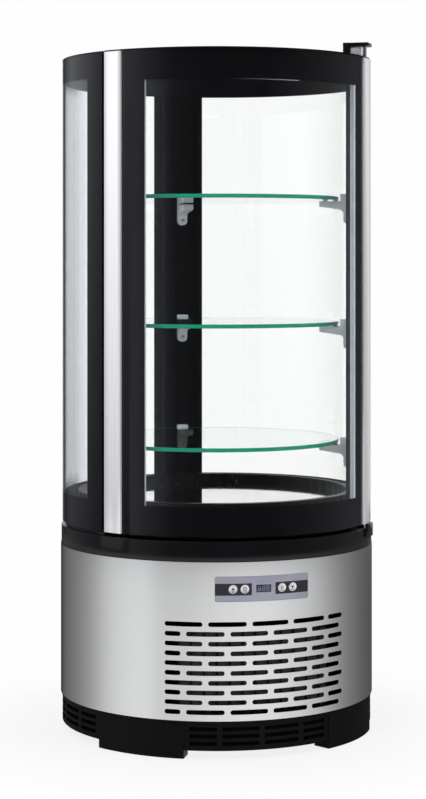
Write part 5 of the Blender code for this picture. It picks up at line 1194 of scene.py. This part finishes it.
bordered_pane("door_pane", DOOR_SPAN, DOOR_WINDOW_SPAN, DOOR_WINDOW_HEIGHTS, "door", "door_glass_outer")
frame_black = grained("door_frame_black", (0.0048, 0.0048, 0.0058), 0.36, gloss=0.06)
door_frame = swept_bar("door_inner_frame", (DOOR_INNER_RADIUS, 0.2187), (0.298, 0.9580), DOOR_SPAN)
shaped_by(door_frame, swept_bar("opening", CUT_THROUGH, OPENING_HEIGHTS, OPENING_SPAN), "DIFFERENCE")
shaped_by(door_frame, swept_bar("cap", (0.2035, PANEL_RADIUS), ROOF_HEIGHTS, LEAF_SPAN), "UNION")
softened(door_frame, 0.0004)
finished(door_frame, frame_black, "door", "black_plastic", "door_frame")

door_lining = swept_bar("door_lining", INNER_PANE_RADII, LINING_HEIGHTS, LINING_SPAN)
softened(door_lining, 0.0003, segments=1)
finished(door_lining, lining_glass, "door", "clear_glass", "door_glass_inner")

spacer = swept_bar("door_spacer", SPACER_RADII, LINING_HEIGHTS, LINING_SPAN)
spacer_window = swept_bar("spacer_window", CUT_THROUGH, SPACER_WINDOW_HEIGHTS, SPACER_WINDOW_SPAN)
shaped_by(spacer, spacer_window, "DIFFERENCE")
dot_rows = []
for radius in PERFORATION_RADII:
    hole = rod(8, 0.0006, 0.0010, (0.0, -radius, PERFORATION_LOWEST), (0.0, pi / 2, 0.0))
    rows = hole.modifiers.new("rows", "ARRAY")
    rows.use_relative_offset = False
    rows.use_constant_offset = True
    rows.constant_offset_displace = (0.0, 0.0, PERFORATION_PITCH)
    rows.count = int((PERFORATION_HEIGHTS[1] - PERFORATION_HEIGHTS[0]) / PERFORATION_PITCH)
    bpy.ops.object.modifier_apply(modifier="rows")
    dot_rows.append(hole)
right_perforation = joined(dot_rows)
left_perforation = turned_copy(right_perforation, SPACER_WINDOW_SPAN[0])
turned_to(right_perforation, SPACER_WINDOW_SPAN[1])
shaped_by(spacer, joined([right_perforation, left_perforation]), "DIFFERENCE")
shaded(spacer)
finished(spacer, spacer_metal, "door", "aluminium", "door_glass_spacer")

# Handle and hinge profiles: two aluminium extrusions, satin anodised, glued down the door's sides.
# The handle's outer lip stands clear of the rear glazing, so that fingers reach behind it.
PROFILE_RADII = (DOOR_INNER_RADIUS, 0.226)
PROFILE_START = radians(51.55)
RECESS_SPAN = (radians(-61.0), radians(-56.8))

satin_aluminium = brushed(
    "satin_anodised", (0.86, 0.85, 0.87), 0.30, PROFILE_RADII[1], 2600.0, 4.0, depth=0.000003, metallic=0.34
)
handle = swept_bar("door_handle_profile", PROFILE_RADII, GLASS_HEIGHTS, (LEAF_SPAN[0], -PROFILE_START))
recess = swept_bar("finger_recess", (0.2000, 0.2200), (0.2900, 0.9700), RECESS_SPAN)
shaped_by(handle, recess, "DIFFERENCE")
softened(handle, 0.0008, segments=3)
finished(handle, satin_aluminium, "door", "aluminium", "door_handle")
hinge_profile = swept_bar("door_hinge_strip", PROFILE_RADII, GLASS_HEIGHTS, (PROFILE_START, LEAF_SPAN[1]))
softened(hinge_profile, 0.0010, segments=3)
finished(hinge_profile, satin_aluminium, "door", "aluminium", "door_hinge_profile")

# Gasket: a magnetic rubber seal in a groove of the door's frame, one loop that meets the posts, the
# sill and the ceiling when the door is shut.
GASKET_SPAN = (radians(-56.5), radians(56.5))
GASKET_WINDOW_SPAN = (radians(-52.5), radians(52.5))

gasket_rubber = grained("gasket_rubber", (0.016, 0.016, 0.017), 0.62, gloss=0.25, grain=1500.0)
gasket = swept_bar("door_seal", (0.2003, 0.2047), (0.304, 0.953), GASKET_SPAN)
gasket_window = swept_bar("seal_window", (0.1950, 0.2100), (0.314, 0.943), GASKET_WINDOW_SPAN)
shaped_by(gasket, gasket_window, "DIFFERENCE")
softened(gasket, 0.0012, segments=3)
finished(gasket, gasket_rubber, "door", "rubber", "door_gasket")

# Hinges: black pressed brackets on the roof and in the base ring. The upper one carries a chromed pin
# and an adjusting block of cast zinc, and the door stands on the lower one's chromed bush.
chrome = grained("chrome", (0.78, 0.79, 0.80), 0.09, metallic=1.0, grain=200.0, depth=0.000004)
bracket_black = grained("bracket_black", (0.0100, 0.0100, 0.0110), 0.30, gloss=0.4, grain=700.0)
top_bracket = block((-0.0125, -0.1994, 0.9591), (0.0125, -0.1905, 0.9796))
arm = block((-0.0125, -0.2275, 0.9743), (0.0125, -0.1905, 0.9796))
shaped_by(top_bracket, arm, "UNION")
softened(turned_to(top_bracket, HINGE_ANGLE), 0.0012, segments=3)
finished(top_bracket, bracket_black, "cabinet", "black_steel", "top_hinge_bracket")
top_pin = turned("upper_pin", [(0.0026, 0.9432), (0.0030, 0.9440), (0.0030, 0.9772)], 40, is_ring=False)
shaded(placed(top_pin, place=HINGE_PLACE), SMALL_ROUND_ANGLE)
finished(top_pin, chrome, "cabinet", "chrome", "top_hinge_pin")
adjuster_zinc = grained("adjuster_zinc", (0.72, 0.72, 0.75), 0.38, metallic=0.3, depth=0.00003)
adjuster = turned_to(block((-0.0075, -0.2140, 0.9605), (0.0075, -0.2005, 0.9736)), HINGE_ANGLE)
softened(adjuster, 0.0010, segments=3)
finished(adjuster, adjuster_zinc, "cabinet", "cast_zinc")

bottom_bracket = block((-0.012, -0.2290, 0.2832), (0.012, -0.2060, 0.2862))
lip = block((-0.012, -0.2290, 0.2790), (0.012, -0.2263, 0.2974))
shaped_by(bottom_bracket, lip, "UNION")
lower_lip = block((-0.012, -0.2280, 0.2790), (0.012, -0.2245, 0.2840))
shaped_by(bottom_bracket, lower_lip, "UNION")
softened(turned_to(bottom_bracket, HINGE_ANGLE), 0.0007)
finished(bottom_bracket, bracket_black, "cabinet", "black_steel", "bottom_hinge_bracket")
bush = turned("lower_bush", [
    (0.0058, 0.2865), (0.0065, 0.2872), (0.0065, 0.2970), (0.0058, 0.2977), (0.0030, 0.2977),
    (0.0030, 0.3112), (0.0024, 0.3120),
], 40, is_ring=False)
shaded(placed(bush, place=HINGE_PLACE), SMALL_ROUND_ANGLE)
finished(bush, chrome, "cabinet", "chrome", "bottom_hinge_pin")
